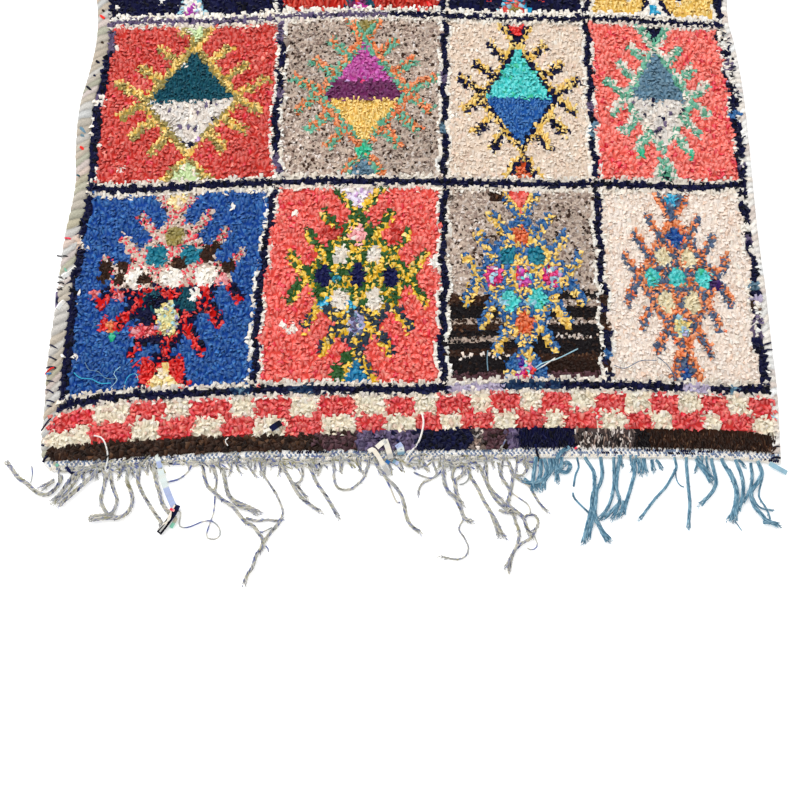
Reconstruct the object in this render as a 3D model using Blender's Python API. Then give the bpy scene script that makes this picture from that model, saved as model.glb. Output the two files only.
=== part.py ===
"""A boucherouite rug: a rag-pile field between wrapped selvedges and woven headings, fringed at one end.

Metres, +Z up. The rug lies flat on z = 0, its near, fringed end towards -Y.
The tables are in millimetres on the cloth: x from the middle warp, v along it from the near end.
"""

import math
import random
from collections import namedtuple

import bmesh
import bpy

MM = 0.001
SEED = 7
CREASE_ANGLE = math.radians(50.0)

# The middle of the whole rug's box, fringe included, as a place on the cloth
BOX_MIDDLE_X = -30.0
BOX_MIDDLE_Y = 1089.0

# Along the cloth: the edges of the headings and of the pile between them
NEAR_EDGE = -5.0
NEAR_PILE = 16.0
FAR_PILE = 2398.0
FAR_EDGE = 2419.0

# Heights and widths
PILE_HEIGHT = 14.0
PILE_LUMP = 3.6
RIM_LUMP = 1.8
RIM_SHOULDER = 12.5
LOCK_HEIGHT = 9.6
LOCK_REACH = 7.0
LOCK_GAP_REACH = 1.5
RIM_INSET = 9.0
LEFT_SELVEDGE = 23.0
RIGHT_SELVEDGE = 19.0
SEAM = 0.3
FRINGE_SEAM = 0.5

# How finely the pile is divided, and how far a lump strays from its place on the grid
COLUMNS = 35
ROWS = 59
LUMP_STRAY = 8.0

# The outer edges: v, then how far the left and the right edge lie from the middle warp
EDGES = (
    # v, left, right
    (-5, 712, 722),
    (52, 728, 727),
    (145, 731, 733),
    (250, 735, 733),
    (380, 731, 734),
    (500, 729, 732),
    (620, 718, 734),
    (720, 726, 736),
    (830, 727, 737),
    (920, 714, 735),
    (1000, 706, 730),
    (1070, 708, 722),
    (1140, 718, 726),
    (1300, 728, 732),
    (1460, 719, 735),
    (1600, 712, 727),
    (1780, 724, 731),
    (1960, 729, 724),
    (2130, 720, 732),
    (2300, 728, 729),
    (2419, 722, 720),
)

# How far each weft line bows from straight, at nine places from the left edge to the right
BOW_PLACES = (-1.0, -0.85, -0.6, -0.3, 0.0, 0.3, 0.6, 0.85, 1.0)
BOWS = (
    # v of the line, then its bow at each place
    (-5, (-25, -15, -8, -3, 0, 3, 3, 0, -9)),
    (16, (-22, -19, -8, 0, 0, 3, 4, -1, -8)),
    (47, (-33, -16, -5, -2, 0, 3, 1, -1, -12)),
    (90, (-48, -21, -8, -5, 0, 9, 1, -1, -15)),
    (140, (-47, -20, -8, 2, 0, 10, 4, -5, -7)),
    (616, (-12, -21, -10, 0, 0, -7, -9, -14, -7)),
    (1053, (-28, -22, -21, -4, 0, -13, -13, -27, -33)),
    (1490, (-10, -6, -2, 4, 0, 6, 8, 2, -6)),
    (1930, (8, 6, 0, -4, 0, -6, -3, 4, 10)),
    (2365, (6, 9, 4, 0, 0, -4, -2, 6, 10)),
    (2398, (8, 10, 5, 1, 0, -3, 0, 7, 12)),
    (2419, (4, 9, 6, 2, 0, -2, 1, 6, 8)),
)

# A selvedge across: share of its width out from the pile, height. Only what is above the crown swells.
SELVEDGE_SECTION = ((0.0, 0.0), (0.38, 6.2), (0.58, 7.2), (0.86, 6.0), (1.0, 3.0), (0.93, 0.0))
SELVEDGE_CROWN = 5.0
SELVEDGE_SWELL = 0.45

# A heading across: share of its width out from the pile, height. Only its crown is ribbed.
HEADING_SECTION = ((0.0, 0.0), (0.34, 4.4), (0.6, 5.0), (0.9, 4.4), (1.0, 2.2), (0.96, 0.0))
HEADING_CROWN = 4.0
HEADING_RIB = 0.2

# The fringe: its backing strip, and a lock across as share of its width and height
BACKING_WIDTH = 6.0
BACKING_HEIGHT = 3.6
LOCK_SECTION = ((-0.5, 0.0), (-0.3, 1.0), (0.3, 1.0), (0.5, 0.0))
LOCK_FLATNESS = 0.68
LOCK_STEP = 12.0
LOCK_EASE = 13.0
LOCK_TIP_SHARE = 0.55
LEAST_LOCK_STEPS = 2
STUB_PITCH = 20.5
STUB_WIDTH = 5.0
STUB_FOLLOW = 0.7
STEEP_LEAN = 40.0
STUB_LENGTHS = (9.0, 16.0, 12.0, 21.0, 8.0, 14.0, 18.0)

# Colours and roughness from the photograph
PILE_LOOK = ((0.72, 0.13, 0.11), 0.95)
SELVEDGE_LOOK = ((0.62, 0.50, 0.36), 0.9)
HEADING_LOOK = ((0.66, 0.60, 0.50), 0.9)
TWINE_LOOK = ((0.56, 0.52, 0.45), 0.9)
BLUE_LOOK = ((0.12, 0.30, 0.40), 0.9)

# Each lock: where its root is, its length, the way it points at its root, a third and two thirds along
# and its tip, in degrees from straight out towards +X, and its width
Lock = namedtuple("Lock", "root length lean third two_thirds tip width")
BEND_PLACES = (0.0, 1 / 3, 2 / 3, 1.0)
TWINE_SPAN = (-708.0, 240.0)
TWINE_LOCKS = (
    # root, length, lean, third, two_thirds, tip, width
    (-700, 22, -50, -50, -50, -50, 6),
    (-684, 146, -6, -90, -126, -143, 8),
    (-656, 60, -30, -30, -30, -30, 8),
    (-616, 80, -46, -46, -43, -38, 9),
    (-603, 70, 9, 2, 4, 20, 7),
    (-585, 76, 18, 16, 2, -30, 7),
    (-554, 160, 4, 12, -69, -90, 8),
    (-536, 127, 22, 26, 27, 15, 7),
    (-514, 82, 24, 20, 24, 34, 7),
    (-497, 92, 17, 22, 24, 24, 9),
    (-404, 150, 10, 50, 50, 46, 7),
    (-366, 112, 14, 31, 56, 64, 8),
    (-296, 262, 40, 16, -34, -20, 6),
    (-259, 124, 32, 35, 52, 51, 8),
    (-213, 26, 0, -10, -30, -50, 6),
    (-199, 114, 27, 30, 31, 30, 8),
    (-152, 104, 4, 44, 128, 150, 7),
    (-73, 166, 58, 36, 16, 54, 8),
    (50, 74, -48, -46, -38, 0, 5),
    (63, 126, 9, 23, 28, 44, 8),
    (103, 52, -39, -28, -4, 2, 6),
    (117, 148, 21, 26, 26, 26, 8),
    (146, 222, 14, 30, 8, -20, 7),
    (176, 144, 18, 5, 40, 36, 7),
    (194, 112, 22, 36, 42, 46, 7),
)
BLUE_SPAN = (245.0, 716.0)
BLUE_LOCKS = (
    # root, length, lean, third, two_thirds, tip, width
    (253, 38, 2, 2, 0, 0, 9),
    (268, 56, -2, -2, -4, -8, 9),
    (281, 34, -4, 0, 4, 6, 9),
    (297, 38, 4, 6, 4, 2, 9),
    (321, 164, -11, 10, 12, -30, 7),
    (348, 160, 11, -4, 22, 25, 8),
    (371, 66, -4, -6, -4, -4, 7),
    (396, 98, 0, -6, -18, -30, 7),
    (412, 86, -4, -4, -3, -8, 7),
    (437, 98, -10, -10, -12, -22, 7),
    (452, 24, -4, 0, 2, 4, 8),
    (470, 26, 8, 6, 4, 2, 8),
    (517, 131, -22, -32, -40, -42, 7),
    (537, 131, 3, 2, -4, -7, 7),
    (559, 30, 38, 38, 38, 38, 11),
    (584, 90, 20, 1, -32, -44, 7),
    (608, 123, 30, 17, -13, -23, 8),
    (637, 52, 16, 10, 0, -6, 7),
    (666, 84, -8, -14, -26, -30, 7),
    (683, 128, -8, -14, 20, 64, 7),
    (703, 26, 68, 72, 75, 75, 8),
)


def curve_through(places, values, at):
    """The value at a place on a smooth curve through the given ones."""
    at = min(max(at, places[0]), places[-1])
    after = 1
    while after < len(places) - 1 and places[after] < at:
        after += 1
    before = after - 1
    span = places[after] - places[before]
    rise = values[after] - values[before]

    def slope(index):
        low = max(index - 1, 0)
        high = min(index + 1, len(places) - 1)
        return (values[high] - values[low]) / (places[high] - places[low])

    share = (at - places[before]) / span
    ease = share * share * (3.0 - 2.0 * share)
    enter = share * (1.0 - share) ** 2 * slope(before) * span
    leave = share**2 * (share - 1.0) * slope(after) * span
    return values[before] + ease * rise + enter + leave


def edge_distance(v, side):
    """How far the cloth's outer edge lies from the middle warp, on the left (-1) or the right (1)."""
    column = 1 if side < 0 else 2
    places = [row[0] for row in EDGES]
    return curve_through(places, [row[column] for row in EDGES], v)


def bow(share, v):
    """How far the weft at v bows along the cloth, at a share of the way out to its edge."""
    after = 1
    while after < len(BOWS) - 1 and BOWS[after][0] < v:
        after += 1
    (low, low_bows), (high, high_bows) = BOWS[after - 1], BOWS[after]
    mix = (v - low) / (high - low)
    near = curve_through(BOW_PLACES, low_bows, share)
    far = curve_through(BOW_PLACES, high_bows, share)
    return near + mix * (far - near)


def on_floor(x, v):
    """Where the point of the cloth at x, v lies on the floor, in millimetres from the near edge's middle."""
    side = -1.0 if x < 0 else 1.0
    return x, v + bow(side * min(abs(x) / edge_distance(v, side), 1.0), v)


def in_scene(x, y, z):
    """That point in metres, about the middle of the rug's box."""
    return ((x - BOX_MIDDLE_X) * MM, (y - BOX_MIDDLE_Y) * MM, z * MM)


def pile_edge(v, side):
    """The x at which the pile ends and its selvedge begins."""
    width = LEFT_SELVEDGE if side < 0 else RIGHT_SELVEDGE
    return side * (edge_distance(v, side) - width)


def spaced(low, high, count):
    return [low + (high - low) * index / count for index in range(count + 1)]


def finish(name, mesh_editor, look):
    """Turns the edited mesh into one named object with its own material."""
    colour, roughness = look
    bmesh.ops.recalc_face_normals(mesh_editor, faces=mesh_editor.faces)
    mesh = bpy.data.meshes.new(name)
    mesh_editor.to_mesh(mesh)
    mesh_editor.free()
    mesh.shade_smooth()
    mesh.set_sharp_from_angle(angle=CREASE_ANGLE)
    material = bpy.data.materials.new(name)
    material.use_nodes = True
    shader = material.node_tree.nodes["Principled BSDF"]
    shader.inputs["Base Color"].default_value = (*colour, 1.0)
    shader.inputs["Roughness"].default_value = roughness
    shader.inputs["Metallic"].default_value = 0.0
    mesh.materials.append(material)
    bpy.context.scene.collection.objects.link(bpy.data.objects.new(name, mesh))


def skin_rings(mesh_editor, rings):
    """Joins closed rings of points into a tube with its two ends filled."""
    around = len(rings[0])
    made = [[mesh_editor.verts.new(point) for point in ring] for ring in rings]
    for first, second in zip(made, made[1:]):
        for index in range(around):
            follow = (index + 1) % around
            mesh_editor.faces.new((first[index], first[follow], second[follow], second[index]))
    mesh_editor.faces.new(made[0])
    mesh_editor.faces.new(made[-1])


def rim_stations():
    """Each grid point round the pile's rim, in order: column, row, place on the floor, way out."""
    walk = [(column, 0) for column in range(COLUMNS)]
    walk += [(COLUMNS, row) for row in range(ROWS)]
    walk += [(column, ROWS) for column in range(COLUMNS, 0, -1)]
    walk += [(0, row) for row in range(ROWS, 0, -1)]
    stations = []
    for column, row in walk:
        x, y = grid_place(column / COLUMNS, row / ROWS)
        out_x = (column == COLUMNS) - (column == 0)
        out_y = (row == ROWS) - (row == 0)
        stations.append((column, row, x, y, out_x, out_y))
    return stations


def grid_place(across, along):
    """The place on the floor of a point of the pile, given as shares across and along it."""
    v = NEAR_PILE + (FAR_PILE - NEAR_PILE) * along
    left = pile_edge(v, -1)
    right = pile_edge(v, 1)
    return on_floor(left + (right - left) * across, v)


def make_field():
    """The pile: a lumpy slab with a flat underside and short locks round its rim."""
    chance = random.Random(SEED)
    mesh_editor = bmesh.new()
    tops = {}
    for row in range(ROWS + 1):
        for column in range(COLUMNS + 1):
            x, y = grid_place(column / COLUMNS, row / ROWS)
            inset_x = (column == 0) - (column == COLUMNS)
            inset_y = (row == 0) - (row == ROWS)
            if inset_x or inset_y:
                stray, height, lump = 0.0, RIM_SHOULDER, RIM_LUMP
            else:
                stray, height, lump = LUMP_STRAY, PILE_HEIGHT, PILE_LUMP
            x += inset_x * RIM_INSET + chance.uniform(-stray, stray)
            y += inset_y * RIM_INSET + chance.uniform(-stray, stray)
            height += chance.uniform(-lump, lump)
            tops[column, row] = mesh_editor.verts.new(in_scene(x, y, height))
    for row in range(ROWS):
        for column in range(COLUMNS):
            mesh_editor.faces.new(
                (
                    tops[column, row],
                    tops[column + 1, row],
                    tops[column + 1, row + 1],
                    tops[column, row + 1],
                )
            )
    add_rim(mesh_editor, tops)
    finish("field", mesh_editor, PILE_LOOK)


def add_rim(mesh_editor, tops):
    """Closes the slab: a rim of locks that stand out between the grid points, and a flat underside."""
    stations = rim_stations()
    feet = []
    hollows = []
    locks = []
    for index, (_, _, x, y, out_x, out_y) in enumerate(stations):
        _, _, next_x, next_y, next_out_x, next_out_y = stations[(index + 1) % len(stations)]
        feet.append(mesh_editor.verts.new(in_scene(x, y, 0.0)))
        hollow = (x + out_x * LOCK_GAP_REACH, y + out_y * LOCK_GAP_REACH, LOCK_HEIGHT)
        hollows.append(mesh_editor.verts.new(in_scene(*hollow)))
        lock_x = (x + next_x) / 2 + (out_x + next_out_x) / 2 * LOCK_REACH
        lock_y = (y + next_y) / 2 + (out_y + next_out_y) / 2 * LOCK_REACH
        locks.append(mesh_editor.verts.new(in_scene(lock_x, lock_y, LOCK_HEIGHT)))
    for index, station in enumerate(stations):
        follow = (index + 1) % len(stations)
        top = tops[station[0], station[1]]
        next_top = tops[stations[follow][0], stations[follow][1]]
        for upper, next_upper in ((top, next_top), (feet[index], feet[follow])):
            mesh_editor.faces.new((upper, hollows[index], locks[index]))
            mesh_editor.faces.new((upper, locks[index], next_upper))
            mesh_editor.faces.new((next_upper, locks[index], hollows[follow]))
    mesh_editor.faces.new(feet)


def make_selvedge(name, side):
    """One wrapped edge, from heading to heading, with a slight swell at every other wrap."""
    width = (LEFT_SELVEDGE if side < 0 else RIGHT_SELVEDGE) - SEAM
    rings = []
    for index, v in enumerate(spaced(NEAR_PILE, FAR_PILE, ROWS)):
        swell = SELVEDGE_SWELL if index % 2 else -SELVEDGE_SWELL
        ends = (index == 0) - (index == ROWS)
        ring = []
        for share, height in SELVEDGE_SECTION:
            reach = SEAM + share * (width + swell)
            x, y = on_floor(pile_edge(v, side) + side * reach, v)
            raised = height + (swell if height > SELVEDGE_CROWN else 0.0)
            ring.append(in_scene(x, y + ends * SEAM, raised))
        rings.append(ring)
    mesh_editor = bmesh.new()
    skin_rings(mesh_editor, rings)
    finish(name, mesh_editor, SELVEDGE_LOOK)


def make_heading(name, inner, outer):
    """A flat-woven band along one end, from the inner v to the outer one, as wide as the whole cloth."""
    way = 1.0 if outer > inner else -1.0
    left, right = pile_edge(inner, -1), pile_edge(inner, 1)
    stations = [-edge_distance(inner, -1)] + spaced(left, right, COLUMNS) + [edge_distance(inner, 1)]
    rings = []
    for index, x in enumerate(stations):
        inner_y = on_floor(x, inner)[1] + way * SEAM
        outer_y = on_floor(x, outer)[1]
        rib = HEADING_RIB if index % 2 else -HEADING_RIB
        ring = []
        for share, height in HEADING_SECTION:
            raised = height + (rib if height > HEADING_CROWN else 0.0)
            ring.append(in_scene(x, inner_y + share * (outer_y - inner_y), raised))
        rings.append(ring)
    mesh_editor = bmesh.new()
    skin_rings(mesh_editor, rings)
    finish(name, mesh_editor, HEADING_LOOK)


def stubs_between(start, end, lean, made_before):
    """Short ends of yarn at even places between two roots."""
    count = int((end - start) / STUB_PITCH) - 1
    stubs = []
    for index in range(count):
        root = start + (end - start) * (index + 1) / (count + 1)
        length = STUB_LENGTHS[(made_before + index) % len(STUB_LENGTHS)]
        stubs.append(Lock(root, length, lean, lean, lean, lean, STUB_WIDTH))
    return stubs


def with_stubs(rows, span):
    """The locks of one fringe from left to right, with stubs where they stand far apart."""
    filled = []
    start = span[0]
    for lock in (Lock(*row) for row in rows):
        filled += stubs_between(start, lock.root, STUB_FOLLOW * lock.lean, len(filled))
        filled.append(lock)
        start = lock.root + (STUB_PITCH if lock.lean > STEEP_LEAN else 0.0)
    return filled + stubs_between(start, span[1], 0.0, len(filled))


def lock_rings(lock, root_y):
    """The rings of points along one lock, which lies on the floor and thins towards its tip."""
    count = max(LEAST_LOCK_STEPS, round(lock.length / LOCK_STEP))
    step = lock.length / count
    bends = (lock.lean, lock.third, lock.two_thirds, lock.tip)
    x, y = lock.root, root_y
    rings = []
    for index in range(1, count + 1):
        travelled = step * (index - 0.5)
        way = curve_through(BEND_PLACES, bends, travelled / lock.length)
        way = math.radians(way) * min(1.0, travelled / LOCK_EASE)
        x += step * math.sin(way)
        y -= step * math.cos(way)
        girth = lock.width * (1.0 - (1.0 - LOCK_TIP_SHARE) * (index / count) ** 3)
        ring = []
        for across, up in LOCK_SECTION:
            side_x = x + across * girth * math.cos(way)
            side_y = y + across * girth * math.sin(way)
            ring.append(in_scene(side_x, side_y, up * girth * LOCK_FLATNESS))
        rings.append(ring)
    return rings


def make_fringe(name, rows, span, look):
    """A row of loose locks that grow out of a narrow strip along the near heading."""
    locks = with_stubs(rows, span)
    breaks = [span[0]]
    for lock in locks:
        breaks += [lock.root - lock.width / 2, lock.root + lock.width / 2]
    breaks.append(span[1])
    mesh_editor = bmesh.new()
    sections = []
    for x in breaks:
        inner_y = on_floor(x, NEAR_EDGE)[1] - FRINGE_SEAM
        outer_y = inner_y - BACKING_WIDTH
        corners = (
            (x, inner_y, 0.0),
            (x, inner_y, BACKING_HEIGHT),
            (x, outer_y, BACKING_HEIGHT),
            (x, outer_y, 0.0),
        )
        sections.append([mesh_editor.verts.new(in_scene(*corner)) for corner in corners])
    for index, (first, second) in enumerate(zip(sections, sections[1:])):
        for side in (0, 1, 3):
            follow = (side + 1) % 4
            mesh_editor.faces.new((first[side], first[follow], second[follow], second[side]))
        if index % 2 == 0:
            mesh_editor.faces.new((first[2], first[3], second[3], second[2]))
            continue
        lock = locks[index // 2]
        middle = on_floor(lock.root, NEAR_EDGE)[1] - FRINGE_SEAM - BACKING_WIDTH
        previous = [first[3], first[2], second[2], second[3]]
        for ring in lock_rings(lock, middle):
            made = [mesh_editor.verts.new(point) for point in ring]
            for side in range(4):
                follow = (side + 1) % 4
                mesh_editor.faces.new((previous[side], previous[follow], made[follow], made[side]))
            previous = made
        mesh_editor.faces.new(previous)
    mesh_editor.faces.new(sections[0])
    mesh_editor.faces.new(sections[-1])
    finish(name, mesh_editor, look)


def clear_scene():
    for leftover in list(bpy.data.objects):
        bpy.data.objects.remove(leftover)


def main():
    clear_scene()
    make_field()
    make_selvedge("selvedge_left", -1)
    make_selvedge("selvedge_right", 1)
    make_heading("heading_near", NEAR_PILE, NEAR_EDGE)
    make_heading("heading_far", FAR_PILE, FAR_EDGE)
    make_fringe("fringe_twine", TWINE_LOCKS, TWINE_SPAN, TWINE_LOOK)
    make_fringe("fringe_blue", BLUE_LOCKS, BLUE_SPAN, BLUE_LOOK)


main()
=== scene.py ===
"""The looks of a boucherouite rug: charted rag pile, wrapped edges, twined headings and a loose fringe.

The tables are in millimetres on the cloth: x from the middle warp, v along it from the near end.
"""

import math
import random
from collections import namedtuple

import bpy
import numpy as np
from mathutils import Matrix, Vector


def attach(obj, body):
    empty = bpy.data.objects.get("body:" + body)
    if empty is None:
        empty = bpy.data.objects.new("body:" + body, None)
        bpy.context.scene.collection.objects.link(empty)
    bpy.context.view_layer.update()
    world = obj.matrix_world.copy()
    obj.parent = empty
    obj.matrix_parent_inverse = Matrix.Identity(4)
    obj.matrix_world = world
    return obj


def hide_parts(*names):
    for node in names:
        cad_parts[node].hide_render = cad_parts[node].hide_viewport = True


MM = 0.001
SEED = 11

# The middle of the whole rug's box, fringe included, as a place on the cloth
BOX_MIDDLE_X = -30.0
BOX_MIDDLE_Y = 1089.0

# Along the cloth: the edges of the headings and of the pile between them
NEAR_EDGE = -5.0
NEAR_PILE = 16.0
FAR_PILE = 2398.0
FAR_EDGE = 2419.0

LEFT_SELVEDGE = 23.0
RIGHT_SELVEDGE = 19.0

# The outer edges: v, then how far the left and the right edge lie from the middle warp
EDGES = (
    # v, left, right
    (-5, 700, 722),
    (6, 716, 724),
    (20, 723, 725),
    (52, 728, 727),
    (145, 731, 733),
    (250, 735, 733),
    (380, 731, 734),
    (500, 729, 732),
    (620, 718, 734),
    (720, 726, 736),
    (830, 727, 737),
    (920, 714, 735),
    (1000, 706, 730),
    (1070, 708, 722),
    (1140, 718, 726),
    (1300, 728, 732),
    (1460, 719, 735),
    (1600, 712, 727),
    (1780, 724, 731),
    (1960, 729, 724),
    (2130, 720, 732),
    (2300, 728, 729),
    (2419, 722, 720),
)

# How far each weft line bows from straight, at nine places from the left edge to the right
BOW_PLACES = (-1.0, -0.85, -0.6, -0.3, 0.0, 0.3, 0.6, 0.85, 1.0)
BOWS = (
    # v of the line, then its bow at each place
    (-5, (-25, -15, -8, -3, 0, 3, 3, 0, -9)),
    (16, (-22, -19, -8, 0, 0, 3, 4, -1, -8)),
    (47, (-33, -16, -5, -2, 0, 3, 1, -1, -12)),
    (90, (-48, -21, -8, -5, 0, 9, 5, 4, -12)),
    (140, (-47, -20, -8, 2, 0, 10, 9, 1, 0)),
    (616, (-12, -21, -10, 0, 0, -7, -9, -14, -7)),
    (1053, (-28, -22, -21, -4, 0, -13, -13, -27, -33)),
    (1490, (-10, -6, -2, 4, 0, 6, 8, 2, -6)),
    (1930, (8, 6, 0, -4, 0, -6, -3, 4, 10)),
    (2365, (6, 9, 4, 0, 0, -4, -2, 6, 10)),
    (2398, (8, 10, 5, 1, 0, -3, 0, 7, 12)),
    (2419, (4, 9, 6, 2, 0, -2, 1, 6, 8)),
)

# Colours as they look in even light, 0 to 255, how much one rag differs from the next, and which dyes take
# the place of what share of the rags
Dye = namedtuple("Dye", "colour spread flecks fleck_share", defaults=((), 0.0))
DYES = {
    # Blues and greens
    "navy": Dye((15, 21, 58), 0.3, ("ink",), 0.2),
    "midnight": Dye((26, 30, 78), 0.18),
    "ink": Dye((11, 13, 28), 0.3),
    "petrol": Dye((32, 60, 88), 0.2, ("slate", "navy"), 0.25),
    "iron": Dye((52, 64, 78), 0.18),
    "deep_slate": Dye((88, 104, 128), 0.16),
    "slate": Dye((104, 134, 152), 0.14),
    "denim": Dye((58, 118, 176), 0.14),
    "lake": Dye((64, 118, 168), 0.14),
    "royal": Dye((42, 96, 156), 0.14, ("denim",), 0.15),
    "azure": Dye((30, 138, 178), 0.14),
    "sky": Dye((62, 180, 212), 0.14, ("pale_blue",), 0.15),
    "pale_blue": Dye((160, 200, 215), 0.12, ("white",), 0.2),
    "turquoise": Dye((96, 208, 206), 0.14, ("emerald",), 0.08),
    "teal": Dye((0, 84, 97), 0.16),
    "sea_teal": Dye((30, 128, 146), 0.18),
    "emerald": Dye((60, 188, 152), 0.15),
    "sea_green": Dye((116, 178, 154), 0.14),
    "leaf": Dye((56, 92, 54), 0.2),
    "olive": Dye((158, 146, 92), 0.15),
    "pale_green": Dye((205, 222, 175), 0.1, ("cream",), 0.3),
    # Yellows and oranges
    "lemon": Dye((244, 208, 76), 0.1, ("straw",), 0.1),
    "maize": Dye((246, 214, 124), 0.1),
    "mustard": Dye((242, 210, 128), 0.12, ("straw",), 0.2),
    "straw": Dye((240, 215, 140), 0.12),
    "custard": Dye((240, 222, 174), 0.07, ("straw", "ivory"), 0.4),
    "peach": Dye((238, 158, 106), 0.14, ("orange",), 0.12),
    "orange": Dye((230, 124, 70), 0.15),
    # Reds, pinks and purples
    "coral": Dye((236, 116, 106), 0.12, ("salmon", "rose"), 0.14),
    "check_coral": Dye((224, 98, 96), 0.12, ("salmon", "rose"), 0.2),
    "rosy": Dye((244, 136, 124), 0.13, ("coral", "rose"), 0.2),
    "salmon": Dye((232, 136, 122), 0.1),
    "brick": Dye((208, 88, 78), 0.12, ("salmon", "rose"), 0.1),
    "dark_coral": Dye((196, 72, 62), 0.1),
    "blush": Dye((222, 112, 114), 0.14, ("rose", "pink"), 0.5),
    "rose": Dye((226, 62, 84), 0.15),
    "red": Dye((226, 48, 40), 0.18),
    "rust": Dye((192, 60, 32), 0.16, ("red",), 0.1),
    "pink": Dye((240, 170, 172), 0.12, ("cream",), 0.2),
    "hot_pink": Dye((226, 40, 120), 0.15),
    "berry": Dye((214, 70, 150), 0.14, ("hot_pink", "white", "lilac", "pale_blue"), 0.6),
    "mixed": Dye((200, 80, 170), 0.2, ("white", "hot_pink", "lilac", "turquoise", "red"), 0.75),
    "magenta": Dye((194, 98, 170), 0.16, ("lilac",), 0.06),
    "orchid": Dye((178, 84, 176), 0.14, ("lilac",), 0.15),
    "plum": Dye((112, 56, 98), 0.16),
    "grape": Dye((72, 44, 100), 0.14),
    "violet": Dye((96, 60, 160), 0.14),
    "lilac": Dye((196, 160, 205), 0.14, ("white",), 0.2),
    "lavender": Dye((176, 166, 190), 0.12, ("white",), 0.2),
    "mist": Dye((228, 218, 232), 0.07, ("lilac", "white"), 0.4),
    "haze": Dye((176, 176, 214), 0.12, ("white", "slate", "dusk"), 0.55),
    "dusk": Dye((104, 92, 120), 0.18, ("navy",), 0.1),
    # Undyed wool
    "brown": Dye((60, 43, 33), 0.3, ("bark", "bark", "tan"), 0.4),
    "bark": Dye((44, 30, 22), 0.3),
    "tan": Dye((92, 68, 50), 0.15),
    "maroon": Dye((88, 62, 68), 0.25, ("bark",), 0.3),
    "black": Dye((26, 22, 24), 0.35, ("bark",), 0.15),
    "heather": Dye((190, 174, 161), 0.18, ("brown", "fawn", "fawn", "pearl_grey"), 0.6),
    "mottle": Dye((204, 186, 173), 0.1, ("rose", "rose", "rose", "pearl_grey", "brown"), 0.66),
    "speckle": Dye((78, 68, 66), 0.35, ("fawn", "pearl_grey", "pearl_grey", "black"), 0.56),
    "fawn": Dye((148, 128, 118), 0.2),
    "pearl_grey": Dye((214, 202, 194), 0.1),
    # Pale rags
    "cream": Dye((233, 219, 207), 0.05, ("sand", "ivory"), 0.25),
    "linen": Dye((221, 204, 187), 0.05, ("sand", "ivory"), 0.2),
    "ivory": Dye((232, 223, 210), 0.05, ("white",), 0.15),
    "sand": Dye((224, 200, 182), 0.06),
    "oat": Dye((228, 216, 182), 0.06),
    "bone": Dye((222, 214, 202), 0.06, ("pearl_grey", "ivory"), 0.3),
    "white": Dye((236, 231, 222), 0.05, ("ivory",), 0.2),
    "check_cream": Dye((230, 221, 200), 0.05, ("sand", "ivory"), 0.25),
    "pearl": Dye((216, 208, 200), 0.12, ("navy", "dusk", "white"), 0.2),
    "posy": Dye((224, 222, 176), 0.08, ("pale_blue", "straw", "haze"), 0.5),
    # Yarns, stitches, wraps and strips
    "twine": Dye((194, 190, 178), 0.1),
    "twine_grey": Dye((160, 161, 158), 0.12),
    "twine_olive": Dye((150, 146, 112), 0.1),
    "twine_blue": Dye((94, 104, 150), 0.14),
    "steel_blue": Dye((94, 134, 156), 0.12),
    "steel_dark": Dye((62, 98, 120), 0.14),
    "steel_pale": Dye((140, 174, 190), 0.1),
    "stitch_blue": Dye((112, 128, 156), 0.14),
    "wrap_beige": Dye((170, 160, 146), 0.07),
    "wrap_pink": Dye((182, 168, 160), 0.07),
    "wrap_grey": Dye((174, 172, 168), 0.07),
    "wrap_green": Dye((158, 154, 136), 0.07),
    "wrap_white": Dye((224, 219, 212), 0.04),
    "wrap_rose": Dye((214, 202, 194), 0.05),
    "pale_rag": Dye((204, 212, 208), 0.04),
    "rag_blue": Dye((158, 170, 204), 0.06),
    "rag_white": Dye((238, 235, 230), 0.05),
    "rag_cream": Dye((222, 214, 200), 0.06),
    "corner": Dye((142, 178, 194), 0.05),
}

# The weft lines between the rows of panels: half the dark line, and its pale flanks beyond and before it
ROW_LINES = (140.0, 616.0, 1053.0, 1490.0, 1930.0, 2365.0)
ROW_LINE_HALF = 8.5
ROW_FLANK = 11.0
NEAR_FLANK = 7.5
PANELS_FROM = ROW_LINES[0] - ROW_LINE_HALF - NEAR_FLANK
PANELS_TO = ROW_LINES[-1] + ROW_LINE_HALF + ROW_FLANK

# The lines along the cloth, from left to right: where each lies at a few places along it
COLUMN_LINES = (
    ((47, -690), (183, -690), (245, -693), (278, -689), (342, -694), (397, -698), (447, -692),
     (527, -688), (573, -684), (645, -681), (712, -680), (789, -683), (850, -680), (910, -677), (951, -673),
     (1001, -671), (1250, -688), (1600, -684), (2000, -696), (2365, -692)),
    ((140, -314), (288, -315), (353, -312), (419, -308), (482, -301), (550, -295), (644, -284),
     (740, -294), (888, -287), (990, -288), (1250, -300), (1600, -292), (2000, -304), (2365, -300)),
    ((140, 66), (241, 62), (344, 69), (441, 68), (644, 73), (808, 75), (1027, 78),
     (1300, 70), (1700, 78), (2100, 66), (2365, 70)),
    ((140, 398), (500, 396), (1027, 399), (1400, 404), (1900, 392), (2365, 398)),
    ((47, 704), (151, 708), (205, 706), (242, 702), (310, 703), (374, 710), (471, 712), (512, 701),
     (536, 707), (579, 705), (676, 711), (742, 710), (823, 707), (870, 710), (911, 705), (967, 704),
     (1010, 695), (1067, 699), (1300, 708), (1700, 700), (2100, 706), (2365, 702)),
)
COLUMN_LINE_HALF = 6.5
COLUMN_FLANK = 8.0
# They waver, as they were tied by eye: how far, over what distance, and how much one line lags the last
COLUMN_WAVERS = ((3.0, 17.0, 2.1), (2.0, 7.3, 1.0))

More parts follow.
